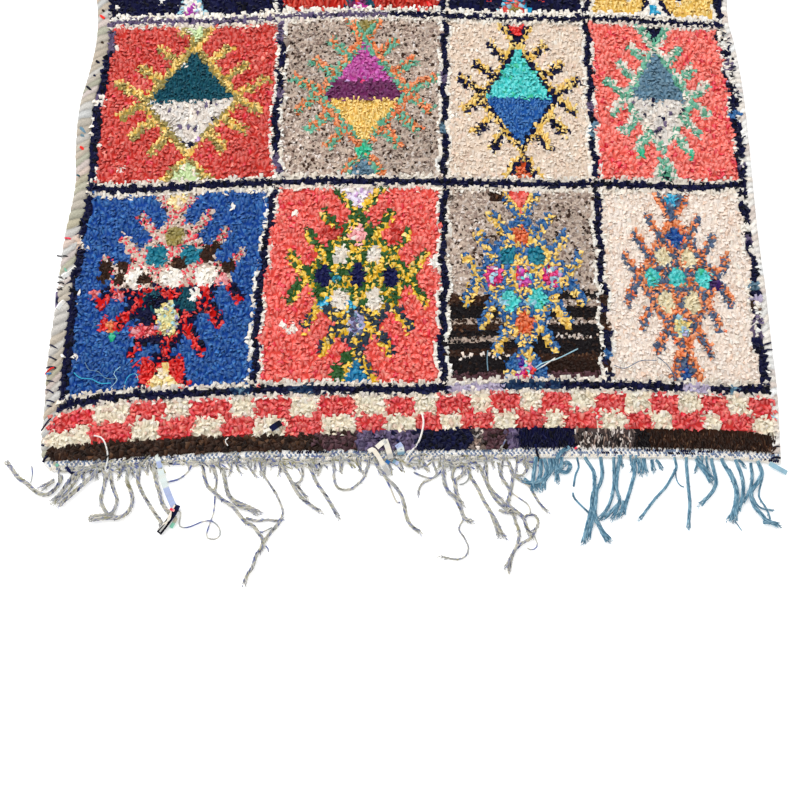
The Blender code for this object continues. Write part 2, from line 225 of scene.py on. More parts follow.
# Runs of the lines that are worked in another colour: line, from, to, colour
ROW_RUNS = (
    (0, 76, 184, "lavender"), (0, 543, 598, "lavender"), (0, -248, -196, "petrol"),
    (0, -362, -320, "petrol"), (0, 186, 300, "petrol"), (0, 640, 655, "slate"),
    (2, -706, -45, "dusk"), (2, 640, 700, "navy"),
)
COLUMN_RUNS = (
    (0, 965, 1053, "dusk"), (0, 836, 858, "dusk"), (0, 828, 836, "white"), (0, 482, 500, "sand"),
    (1, 985, 1053, "dusk"), (1, 830, 858, "dusk"), (1, 640, 690, "dusk"),
    (2, 870, 890, "dusk"), (2, 740, 765, "slate"), (3, 800, 830, "dusk"), (3, 735, 775, "slate"),
    (3, 325, 347, "brown"), (3, 262, 300, "brown"), (3, 168, 190, "brown"), (3, 200, 218, "lake"),
    (4, 1048, 1060, "white"), (4, 982, 1000, "white"), (4, 925, 948, "dusk"), (4, 892, 902, "lavender"),
    (4, 793, 812, "lake"), (4, 655, 668, "dusk"), (4, 570, 584, "white"), (4, 503, 520, "white"),
    (4, 478, 492, "dusk"), (4, 362, 380, "slate"), (4, 336, 350, "lavender"), (4, 318, 334, "brown"),
    (4, 252, 318, "dusk"),
)

# Where a line along the cloth is only one knot wide: line, from, to
THIN_RUNS = (
    (0, 828, 860), (0, 640, 660), (0, 478, 500), (4, 1000, 1060), (4, 890, 965), (4, 848, 864),
    (4, 655, 690), (4, 575, 590), (4, 448, 462), (4, 252, 345), (4, 130, 150),
)

# The two checked bands nearest the fringe, where one square ends and the next begins
UPPER_CHECKS = (
    -730, -632, -560, -487, -437, -361, -311, -238, -185, -112, -50, 6, 51, 118, 158, 213,
    264, 317, 368, 425, 478, 531, 574, 629, 673, 735,
)
LOWER_CHECKS = (
    -730, -634, -554, -498, -431, -373, -311, -249, -175, -109, -51, 9, 59, 98, 160, 208,
    265, 305, 373, 427, 477, 516, 578, 611, 675, 735,
)
UPPER_CHECK_LINE = 90.0
LOWER_CHECK_LINE = 47.0
# The dark band swells towards the cloth's middle and stays so beyond it
WOOL_SWELL = 6.5
WOOL_SWELL_OVER = 250.0

# The dark band beside the near heading: where each colour ends
NEAR_BAND = (
    (-196, "brown"), (-107, "maroon"), (11, "dusk"), (120, "navy"), (143, "speckle"), (188, "maroon"),
    (212, "dusk"), (323, "navy"), (439, "speckle"), (469, "black"), (800, "brown"),
)

# A panel's motif. A split diamond has two or three bands, and a spotted one has nine lozenges, row by row
# from its far point. Its branches have one pair of dyes beyond its middle and one before it. Its place is
# how far it lies from the middle of the panel, across and along, how broad it is, where the near pair of
# dyes takes over, how fast the arms of its near and its far fork part, and how broad its spots are.
Motif = namedtuple("Motif", "ground branches bands spots far_cap near_cap near_branches place")
Place = namedtuple("Place", "across along breadth near_from fork far_fork spots", defaults=(0.55, 1.0))
CENTRED = Place(0.0, 0.0, 1.0, -26.0, 0.55)


def panel(ground, branches, fill, caps, near_branches=None, place=CENTRED):
    """A panel's motif, whose fill is the bands of a split diamond or the nine spots of a spotted one."""
    split = len(fill) < 9
    bands, spots = (fill, ()) if split else ((), fill)
    return Motif(ground, branches, bands, spots, *caps, near_branches or branches, place)


PANELS = (
    (
        panel("royal", ("mottle", "mottle"),
              ("olive", "sea_teal", "sea_teal", "white", "white", "white", "teal", "teal", "posy"),
              ("custard", "custard"), ("navy", "red"), Place(8.0, 12.0, 1.0, -6.0, 0.55, 0.75)),
        panel("coral", ("leaf", "lemon"),
              ("pink", "bone", "bone", "midnight", "midnight", "midnight", "bone", "bone", "haze"),
              ("mist", "azure"), ("iron", "lemon"), Place(10.0, 0.0, 1.0, -52.0, 0.55, 0.72, 0.8)),
        panel("heather", ("lake", "maize"),
              ("orange", "sea_teal", "sea_teal", "berry", "mixed", "berry", "turquoise", "turquoise",
               "orange"),
              ("coral", "mixed")),
        panel("cream", ("peach", "deep_slate"),
              ("royal", "oat", "oat", "turquoise", "turquoise", "turquoise", "oat", "oat", "posy"),
              ("sky", "royal"), None, Place(0.0, 0.0, 0.92, -26.0, 0.34, 0.4)),
    ),
    (
        panel("brick", ("mustard", "olive"), ("teal", "pearl"), ("pale_green", "pale_green"),
              None, Place(3.0, 0.0, 1.04, -26.0, 0.8)),
        panel("heather", ("peach", "sea_green"), ("magenta", "plum", "mustard"), ("olive", "slate"),
              None, Place(5.0, 0.0, 1.05, -26.0, 0.68)),
        panel("linen", ("mustard", "navy"), ("turquoise", "denim"), ("red", "orange"),
              None, Place(4.0, 0.0, 1.0, -26.0, 0.55)),
        panel("rosy", ("bone", "sea_green"), ("slate", "pearl"), ("navy", "navy"),
              None, Place(-5.0, 0.0, 0.9, -26.0, 0.25)),
    ),
    (
        panel("navy", ("pale_blue", "white"),
              ("lilac", "sky", "sky", "mustard", "magenta", "mustard", "pink", "pink", "lilac"),
              ("coral", "orchid")),
        panel("rust", ("teal", "plum"),
              ("mustard", "ivory", "ivory", "sky", "royal", "sky", "ivory", "ivory", "hot_pink"),
              ("mustard", "mixed")),
        panel("navy", ("sky", "coral"),
              ("olive", "white", "white", "peach", "lemon", "peach", "white", "white", "olive"),
              ("lilac", "olive")),
        panel("mustard", ("navy", "white"),
              ("sky", "coral", "coral", "teal", "red", "teal", "coral", "coral", "sky"),
              ("teal", "sky")),
    ),
    (
        panel("cream", ("navy", "peach"), ("rose", "slate"), ("teal", "mustard")),
        panel("coral", ("ivory", "teal"), ("mustard", "pearl"), ("navy", "sky")),
        panel("heather", ("coral", "royal"), ("turquoise", "navy", "peach"), ("plum", "lilac")),
        panel("royal", ("white", "red"), ("straw", "olive"), ("orange", "pink")),
    ),
    (
        panel("coral", ("royal", "straw"),
              ("white", "navy", "navy", "turquoise", "lemon", "turquoise", "navy", "navy", "white"),
              ("sky", "olive")),
        panel("cream", ("leaf", "orange"),
              ("rose", "royal", "royal", "plum", "mustard", "plum", "teal", "teal", "rose"),
              ("navy", "coral")),
        panel("mustard", ("plum", "ivory"),
              ("red", "slate", "slate", "denim", "white", "denim", "sea_green", "sea_green", "red"),
              ("royal", "teal")),
        panel("heather", ("teal", "peach"),
              ("magenta", "ivory", "ivory", "royal", "coral", "royal", "ivory", "ivory", "magenta"),
              ("red", "mustard")),
    ),
)

# From one rag to the next a dye also turns a little warmer or cooler
DYE_WARMTH = 0.04

# Small patches worked in over the chart: the middle, the half breadth and half length, and the dye
PATCHES = (
    # x, v, across, along, dye
    (-636, 435, 15, 13, "brown"), (-636, 408, 13, 12, "brown"), (-605, 402, 14, 13, "brown"),
    (-555, 400, 13, 13, "brown"), (-484, 435, 17, 14, "brown"), (-425, 450, 16, 21, "brown"),
    (-406, 469, 12, 12, "brown"), (-380, 420, 15, 14, "brown"), (-601, 433, 14, 10, "brown"),
    (-499, 310, 21, 34, "posy"), (-550, 316, 24, 17, "navy"), (-524, 346, 26, 13, "navy"),
    (-531, 259, 24, 10, "navy"),
    (-546, 281, 27, 15, "blush"), (-612, 297, 10, 13, "peach"), (-629, 303, 8, 17, "red"),
    (-606, 276, 9, 13, "emerald"), (-618, 304, 6, 17, "navy"), (-379, 559, 5, 5, "white"),
    (-534, 194, 15, 26, "red"), (-470, 196, 14, 27, "red"), (-655, 374, 15, 9, "blush"),
    (-603, 364, 13, 10, "blush"), (-446, 357, 11, 15, "white"), (-390, 387, 12, 12, "pink"),
    (-168, 491, 22, 19, "dark_coral"), (-33, 486, 16, 19, "dark_coral"), (-265, 280, 10, 8, "white"),
    (-242, 270, 12, 11, "white"), (-248, 540, 7, 7, "white"), (-178, 328, 13, 9, "sky"),
    (-124, 323, 9, 10, "sky"), (-158, 387, 12, 9, "sea_teal"), (-150, 175, 15, 21, "leaf"),
    (-130, 209, 14, 13, "leaf"), (50, 423, 10, 17, "white"),
    (181, 585, 19, 12, "brown"), (318, 282, 11, 10, "maize"), (261, 170, 14, 19, "lake"),
    (205, 188, 12, 20, "lake"), (220, 193, 8, 8, "violet"),
    (193, 330, 15, 5, "pale_blue"), (250, 330, 13, 5, "pale_blue"), (240, 185, 9, 7, "pink"),
    (236, 164, 9, 7, "red"), (629, 379, 12, 15, "grape"),
    (-614, 674, 6, 6, "white"), (-629, 666, 6, 6, "white"), (-500, 933, 7, 5, "white"),
    (-504, 990, 14, 15, "dark_coral"), (-361, 896, 12, 13, "dark_coral"), (-105, 871, 5, 5, "hot_pink"),
    (-101, 693, 16, 12, "emerald"), (-475, 724, 7, 10, "navy"), (-467, 734, 7, 7, "lilac"),
    (498, 693, 8, 10, "emerald"), (606, 695, 9, 10, "emerald"),
)

# Loose threads on the pile: dye, width, and the places that each passes
PILE_THREADS = (
    ("pale_blue", 2.4, ((250, 176), (262, 185), (294, 196), (337, 219))),
    ("pale_blue", 2.4, ((252, 172), (268, 182), (290, 198))),
    ("slate", 2.2, ((155, 217), (153, 196), (154, 172))),
    ("sky", 1.6, ((-676, 204), (-662, 190), (-640, 184), (-622, 172), (-600, 170))),
    ("slate", 1.4, ((-656, 222), (-646, 204), (-628, 198), (-612, 182), (-590, 178))),
    ("lake", 1.6, ((-650, 176), (-630, 190), (-612, 186), (-598, 196), (-580, 190))),
    ("pale_blue", 1.4, ((-600, 160), (-588, 176), (-596, 190), (-584, 204))),
    ("sky", 1.4, ((-572, 166), (-566, 182), (-552, 186), (-546, 172))),
    ("deep_slate", 1.8, ((496, 204), (514, 188), (530, 158))),
    ("deep_slate", 1.6, ((408, 183), (428, 176), (462, 194), (494, 196))),
    ("red", 2.0, ((-560, 200), (-540, 218), (-516, 204), (-528, 186))),
    ("red", 2.0, ((-470, 176), (-456, 196), (-470, 214), (-488, 206))),
)

# One panel's ground turns to stripes below its middle: down to which v, in which colour
STRIPED_PANEL = (0, 2)
LEFT_STRIPES = (
    (348, "heather"), (326, "brown"), (292, "black"), (287, "heather"), (268, "brown"), (252, "black"),
    (245, "heather"), (224, "black"), (210, "brown"), (204, "cream"), (172, "black"), (0, "maroon"),
)
RIGHT_STRIPES = (
    (357, "heather"), (338, "black"), (320, "heather"), (288, "black"), (279, "heather"), (253, "black"),
    (246, "heather"), (213, "black"), (198, "brown"), (172, "bark"), (0, "maroon"),
)

# A split diamond: its half width as a share of half the panel's, its reach along the cloth, its outline,
# and where the bands of one with three of them end
SPLIT_SHARE = 0.465
SPLIT_FAR = 134.0
SPLIT_NEAR = 120.0
SPLIT_OUTLINE = 1.25
THREE_BANDS = (38, -12)
# Its arms, in a panel 380 mm wide: where each leaves the diamond and where it ends, across and along
ARM_PANEL = 190.0
ARM_HALF = 11.5
ARMS = (
    # root, then tip
    (32, 104, 76, 147),
    (62, 54, 116, 96),
    (96, 12, 158, 53),
    (100, -2, 149, -40),
    (70, -44, 120, -91),
    (42, -82, 77, -134),
)
# The fork past a diamond's point: where it starts, for both kinds, and how far from the middle its arms do
SPLIT_FORK = 148.0
SPOTTED_FORK = 160.0
FORK_START = 0.4 * ARM_HALF
# Where the two dyes of a branch meet they mix, and some of its rags are of the other dye
BRANCH_MIX = 0.1
BRANCH_STRAYS = 0.22
# A spotted diamond is a lattice of nine lozenges: how far apart they are, across and along, where the
# middle one lies, how much of its cell each fills, how far the lattice's lines run on past it as arms, and
# which of the nine lies in which cell
LATTICE_SHARE = 0.183
LATTICE_FAR = 48.0
LATTICE_NEAR = 56.0
LATTICE_MIDDLE = 14.0
LATTICE_EDGE = 1.5
SPOT_BREADTH = 0.62
SPOT_LENGTH = 0.45
LINE_REACH = 0.19
ARM_REACH = 0.98
LATTICE_ORDER = {
    (1, 1): 0, (0, 1): 1, (1, 0): 2, (-1, 1): 3, (0, 0): 4, (1, -1): 5, (-1, 0): 6, (0, -1): 7, (-1, -1): 8,
}

# How each kind of rag is cut: how far apart its tufts are across and along, how wide and how folded a
# tuft is, how far it reaches and rises, and how far it strays from the length of the cloth
Grain = namedtuple("Grain", "across along width fold reach rise sway")
RAG = Grain(7.0, 8.6, 11.0, 2.0, 14.0, 7.2, 0.5)
SCALE = Grain(6.4, 8.4, 9.8, 1.7, 13.0, 7.0, 0.45)
BIT = Grain(6.0, 7.6, 9.0, 1.6, 11.5, 8.0, 0.7)
COMB = Grain(5.8, 8.0, 8.6, 1.5, 13.5, 5.8, 0.4)
SPIKE = Grain(7.0, 8.0, 10.0, 2.2, 12.5, 8.4, 0.9)
CHIP = Grain(5.2, 6.8, 6.8, 1.5, 9.5, 5.4, 0.6)
SLIVER = Grain(5.2, 8.2, 6.8, 1.5, 13.0, 7.2, 0.35)
LINE_RAG = Grain(6.4, 9.0, 10.0, 2.0, 11.5, 8.0, 0.5)
HAIR = Grain(4.0, 7.0, 3.4, 1.6, 14.0, 8.0, 0.28)
FLEECE = Grain(7.4, 7.0, 13.0, 5.0, 11.0, 7.8, 1.5)
FINGER = Grain(10.0, 9.0, 8.0, 2.4, 27.0, 9.5, 0.3)
# The near band is loose fleece as far as this x, and combed wool beyond it
FLEECE_TO = 205.0
# Up to this distance beyond the shaggy line the rust rags hang over it in long fingers
FINGER_TO = 44.0
GRAINS = {
    COMB: {"cream", "linen"},
    BIT: {"maize", "lake", "deep_slate", "peach", "red", "orange", "sea_green", "straw", "olive", "posy",
          "haze", "blush"},
    SPIKE: {"check_coral", "check_cream"},
    SCALE: {"ivory", "turquoise", "royal", "magenta", "plum", "slate", "navy", "white", "pale_green",
            "mixed", "berry", "bone", "oat", "lemon", "leaf", "iron", "midnight", "pearl"},
    SLIVER: {"teal", "denim", "mustard"},
    CHIP: {"heather", "black", "bark", "maroon", "brown", "dusk", "mottle"},
}
# The three far rows are tufted a little more coarsely. Each piece of the pile starts a little before its line
FAR_COARSE = 1.12
FAR_ROW = 3
PIECE_LEAD = 5.0
# A tuft's rings, at its root and its tip, how high its root lies and how far it starts behind its knot
TUFT_SHARES = np.array((0.0, 1.0))
TUFT_ROOT = 3.5
TUFT_OVER = 0.45
# From one tuft to the next its measures vary by these shares, its way by this angle, its tip by this much
TUFT_REACHES = (0.65, 1.25)
TUFT_RISES = (0.7, 1.2)
TUFT_BENDS = (0.8, 1.4)
TUFT_TURNS = (-0.5, 0.5)
TUFT_WIDTHS = (0.75, 1.2)
ROOT_WIDTH = 0.8
TIP_WIDTHS = (0.6, 1.2)
TUFT_FOLDS = (0.6, 1.4)
TIP_STRAY = 0.5
# The fold is paler and brighter as a painted highlight, and towards its edges the rag's colour deepens as
# painted shade
FOLD_HIGHLIGHT = 0.12
FOLD_HIGHLIGHT_GAIN = 1.06
EDGE_SHADE = (0.3, 0.12)
# How far the outermost tufts reach past the pile's edge beside the near bands, and beyond them on each side
TUFT_EDGE_PLACES = (20.0, 47.0, 75.0, 118.0, 136.0)
TUFT_EDGES = (8.0, 9.0, 14.0, 12.0)
LEFT_TUFT_EDGE = -6.5
RIGHT_TUFT_EDGE = -1.5
# How far a knot strays from its place in the grid, as a share of the distance to the next
TUFT_STRAY = 0.3

# The bed of packed roots: its height and its lumps, how far apart its points are, where they lie beside a
# line, and how many there are between two lines along the cloth
BED_HEIGHT = 6.0
BED_RIM = 2.5
BED_LUMP = 0.5
BED_STEP = 14.0
BED_EDGES = (-15.0, -7.0, 7.0, 15.0)
BED_RUNS = (1, 24, 24, 22, 21, 1)
# Bundles of hair in the band of brown wool: how broad they are, how they waver, how light the painted
# highlight on a bundle is and how dark the painted shade between them is
BUNDLE = 23.0
BUNDLE_WAVERS = (0.9, 9.0, 1.3, 31.0)
BUNDLE_LIGHT = 1.2
BUNDLE_SHADE = 0.7
# The undyed wool is paler in some places than in others, by this share
PATCHY = 0.16
PATCHY_ACROSS = (90.0, 4.35)
PATCHY_ALONG = (75.0, -1.35)

# Towards its root a rag lies in its neighbours' shade: how much more vivid and how much darker it looks
ROOT_DEEP = (0.7, 0.3)
ROOT_SHADE = 0.92

# The knots of a line between rows: how far from its middle each row of knots is tied, and its colour
ROW_LINE_KNOTS = ((14.5, "bone"), (4.5, None), (-4.2, None), (-13.0, "bone"))
SHAGGY_LINE = 2
SHAGGY_LINE_KNOTS = ((12.5, "white"), (6.5, "white"), (0.0, None), (-6.0, None), (-13.5, "bone"))
COLUMN_LINE_KNOTS = (-10.5, -3.0, 3.2, 10.5)
LINE_PITCH = 6.4
# How far these knots stray, across the cloth, along a line between rows and along one between columns
KNOT_STRAY = 2.0
ROW_KNOT_STRAY = 2.2
COLUMN_KNOT_STRAY = 1.5
# The knots of the lines along the cloth keep this far from a line between rows and from the pile's edges
LINE_GAP = 3.0
LEFT_KNOT_EDGE = 1.0
RIGHT_KNOT_EDGE = 4.0
# A knot on the flank takes its dye from this much further out, as a share of how far it lies off the line
FLANK_LOOK = 0.6
# How much of each line along the cloth is edged in white, on its left and on its right, and how that share
# swings along the cloth: how far, over what distance, how much one line lags the last, how much is chance
COLUMN_WHITES = ((0.0, 0.1), (0.72, 0.62), (0.75, 0.75), (0.8, 0.55), (0.4, 0.25))
WHITE_SWING = 0.28
WHITE_SWING_OVER = 19.0
WHITE_LAG = 2.3
WHITE_CHANCE = 0.3

# The ground weave under the pile: a thin cloth, and its underside in the knots' colours
GROUND_STEP = 20.0
GROUND_COLUMNS = 72
GROUND_THICK = 2.2
GROUND_PALE = 0.35

# A selvedge across: share of its width out from the pile, share of its height
SELVEDGE_SECTION = (
    (-0.12, 0.35), (0.06, 0.72), (0.28, 0.95), (0.52, 1.0),
    (0.76, 0.9), (0.94, 0.62), (1.03, 0.28), (0.97, 0.0),
)
# The left one swells in over the pile's edge from this v on
WIDE_FROM = 130.0
WIDE_SELVEDGE_SECTION = (
    (-0.42, 0.7), (-0.26, 0.96), (-0.02, 1.08), (0.3, 1.06),
    (0.62, 0.97), (0.9, 0.68), (1.03, 0.3), (0.97, 0.0),
)
# How far in the selvedge's foot lies under the pile, and how dark the painted shade under the pile is there
SELVEDGE_FOOT = 0.12
FOOT_LIGHT = 0.8
SELVEDGE_STEP = 3.5
# Its wraps: how high it stands, how far apart the wraps are, how far each slants, how deep the creases are
# near and far, and how much paler the near wraps are
Wraps = namedtuple("Wraps", "height pitch slant near_depth far_depth near_light dyes")
LEFT_WRAPS = Wraps(8.8, 19.0, 13.0, 0.6, 0.22, 1.14,
                   ("wrap_beige", "wrap_pink", "wrap_grey", "wrap_beige", "wrap_green"))
RIGHT_WRAPS = Wraps(8.0, 15.0, -9.0, 0.3, 0.3, 1.0, ("wrap_white", "wrap_rose", "wrap_white", "rag_white"))
WRAP_NEAR = 420.0
WRAP_FAR = 900.0
# How the wraps waver, how full one is, how far a crease is drawn in, and how rough they are across and up
WRAP_WAVER = 5.0
WRAP_WAVER_OVER = 37.0
WRAP_LAG = 2.0
WRAP_FULL = 0.55
CREASE_IN = 0.16
WRAP_OUT = 0.25
WRAP_UP = 0.2
# A wrap gets painted shade in its crease and low down, and its tone varies a little at random
CREASE_LIGHT = 0.5
LOW_LIGHT = 0.86
LOW_TO = 1.6
WORN = (0.92, 1.06)

# Threads and bits of rag across a selvedge: v, from and to in shares of its width, how far it slants, dye,
# width
LEFT_THREADS = (
    (1084, 0.3, 0.5, 4, "brown", 5), (1068, 0.3, 0.7, 8, "red", 6), (996, 0.1, 0.4, 6, "brown", 6),
    (943, 0.1, 0.5, 8, "navy", 6), (907, 0.2, 0.4, 4, "navy", 5), (872, 0.2, 0.7, 10, "navy", 5),
    (762, 0.1, 0.6, 12, "slate", 7), (745, 0.0, 0.5, 8, "slate", 6), (715, 0.2, 0.5, 6, "red", 6),
    (500, 0.3, 0.9, 3, "rose", 4), (461, -0.3, 1.45, 10, "ink", 3), (466, -0.5, -0.1, 6, "brown", 8),
    (425, -0.5, 0.6, -22, "rag_white", 12), (430, 0.3, 0.5, 6, "sea_green", 4), (416, 0.4, 1.1, 6, "ink", 3),
    (410, 0.4, 1.1, 6, "rag_white", 3), (404, 0.4, 1.1, 6, "ink", 3), (397, 0.4, 1.1, 5, "rag_white", 3),
    (391, 0.5, 1.1, 5, "ink", 3), (411, -0.5, 0.35, 4, "ink", 5), (369, 0.82, 0.98, 34, "dusk", 7),
    (356, 0.2, 0.7, -16, "rag_white", 10), (645, 0.6, 0.9, 4, "teal", 4),
    (269, 0.0, 1.0, 16, "navy", 3), (245, 0.1, 0.9, 10, "navy", 3), (227, 0.0, 1.05, 6, "navy", 4),
    (222, 0.3, 1.1, -8, "red", 4), (216, 0.5, 1.1, 4, "denim", 4), (198, 0.0, 0.9, 9, "navy", 3),
    (180, 0.2, 1.0, 12, "navy", 3), (158, 0.0, 0.8, 8, "navy", 3), (148, 0.1, 0.7, 4, "navy", 3),
    (113, 0.3, 1.1, -18, "navy", 3), (104, 0.3, 1.1, -18, "white", 3), (62, 0.7, 1.0, 6, "navy", 4),
    (20, 0.5, 0.9, -14, "navy", 5),
)
RIGHT_THREADS = (
    (1011, -0.2, 0.5, 10, "navy", 3), (1003, -0.2, 0.6, -8, "navy", 3), (993, -0.1, 0.4, 6, "navy", 3),
    (923, -0.2, 0.5, 4, "navy", 3), (862, -0.3, 0.4, 12, "navy", 3), (852, -0.2, 0.7, -8, "navy", 3),
    (834, -0.3, 0.6, 9, "navy", 3), (801, -0.2, 0.5, 6, "royal", 6), (739, -0.2, 0.6, 10, "navy", 3),
    (722, -0.3, 0.6, -7, "navy", 3), (240, -0.3, 0.9, 10, "navy", 4), (228, -0.3, 1.0, 4, "navy", 3),
    (183, -0.4, 0.5, -10, "ink", 5), (178, -0.5, 0.3, 8, "ink", 4), (120, 0.0, 0.6, 6, "slate", 3),
    (92, 0.1, 0.7, -6, "pale_blue", 4), (30, 0.2, 0.9, 4, "navy", 3), (6, -0.2, 0.9, 2, "navy", 5),
)

# How such a thread lies over the wraps: how square its hump is, how high its ends and how deep it sinks in
THREAD_ROUND = 2.5
THREAD_FOOT = 2.0
THREAD_SINK = 1.2

# A heading across: share of its width out from the pile, height in millimetres
HEADING_SECTION = ((-0.1, 3.0), (0.1, 4.0), (0.5, 4.3), (0.9, 4.0), (1.0, 2.4), (0.98, 0.0))
HEADING_STEP = 12.0
# The rows of stitches on it: how far out from the pile, how long, how far each slants, how wide, dyes
StitchRow = namedtuple("StitchRow", "out length slant width dyes")
NEAR_STITCHES = (
    StitchRow(2.0, 6.0, -2.2, 3.4, ("rag_white", "stitch_blue")),
    StitchRow(7.0, 6.5, 2.6, 3.4, ("rag_white", "stitch_blue")),
    StitchRow(12.0, 6.5, -2.6, 3.6, ("rag_cream", "rag_white", "rag_cream", "stitch_blue")),
)
FAR_STITCHES = (
    StitchRow(3.5, 7.5, -2.6, 5.0, ("rag_white", "rag_cream")),
    StitchRow(10.5, 7.5, 2.8, 5.0, ("rag_cream", "rag_white", "stitch_blue")),
)
STITCH_PITCH = 4.2
FAR_STITCH_PITCH = 6.4
# How high a stitch lies, how far its middle lifts, how thick it is, and how far in from the edge the rows end
STITCH_HEIGHT = 3.4
STITCH_LIFT = 2.2
STITCH_THICK = 2.2
STITCH_IN = 3.0
STITCH_STRAY = 0.4
STITCH_LIFTS = (0.8, 1.2)
# Where the near rows run dark, row, from, to, and how many of the stitches there are dark
DARK_STITCHES = ((0, -600, -505), (0, -225, -165), (1, 370, 420), (0, 455, 590), (1, 500, 560), (2, 690, 722))
DARK_SHARE = 0.6
# Now and then a row skips a dye
SKIP_SHARE = 0.1
# The plied yarn along the near edge's right part: how far out from the pile, how wide, how high, from which x
EDGE_CORD_OUT = 18.0
EDGE_CORD_WIDTH = 6.5
EDGE_CORD_HEIGHT = 3.6
EDGE_CORD_FROM = -20.0
EDGE_CORD_PITCH = 30.0
EDGE_CORD_STEP = 2.6

# The ends of yarn that spill over the near heading's left part: from, to, how many, how far out they lie
SPILLS = (
    (-700, -560, 60, 8.0, 26.0), (-560, -440, 40, 8.0, 22.0), (-440, -300, 46, 10.0, 24.0),
    (-300, -160, 60, 12.0, 34.0), (-160, -20, 50, 10.0, 26.0), (-20, 120, 60, 12.0, 36.0),
    (120, 240, 34, 14.0, 30.0),
)
# How far each turns from the heading's way and bends, and its length, height and width
SPILL_TURN = 0.45
SPILL_BEND = 0.8
SPILL_LENGTHS = (14.0, 34.0)
SPILL_HEIGHTS = (3.0, 6.5)
SPILL_WIDTHS = (2.0, 4.0)

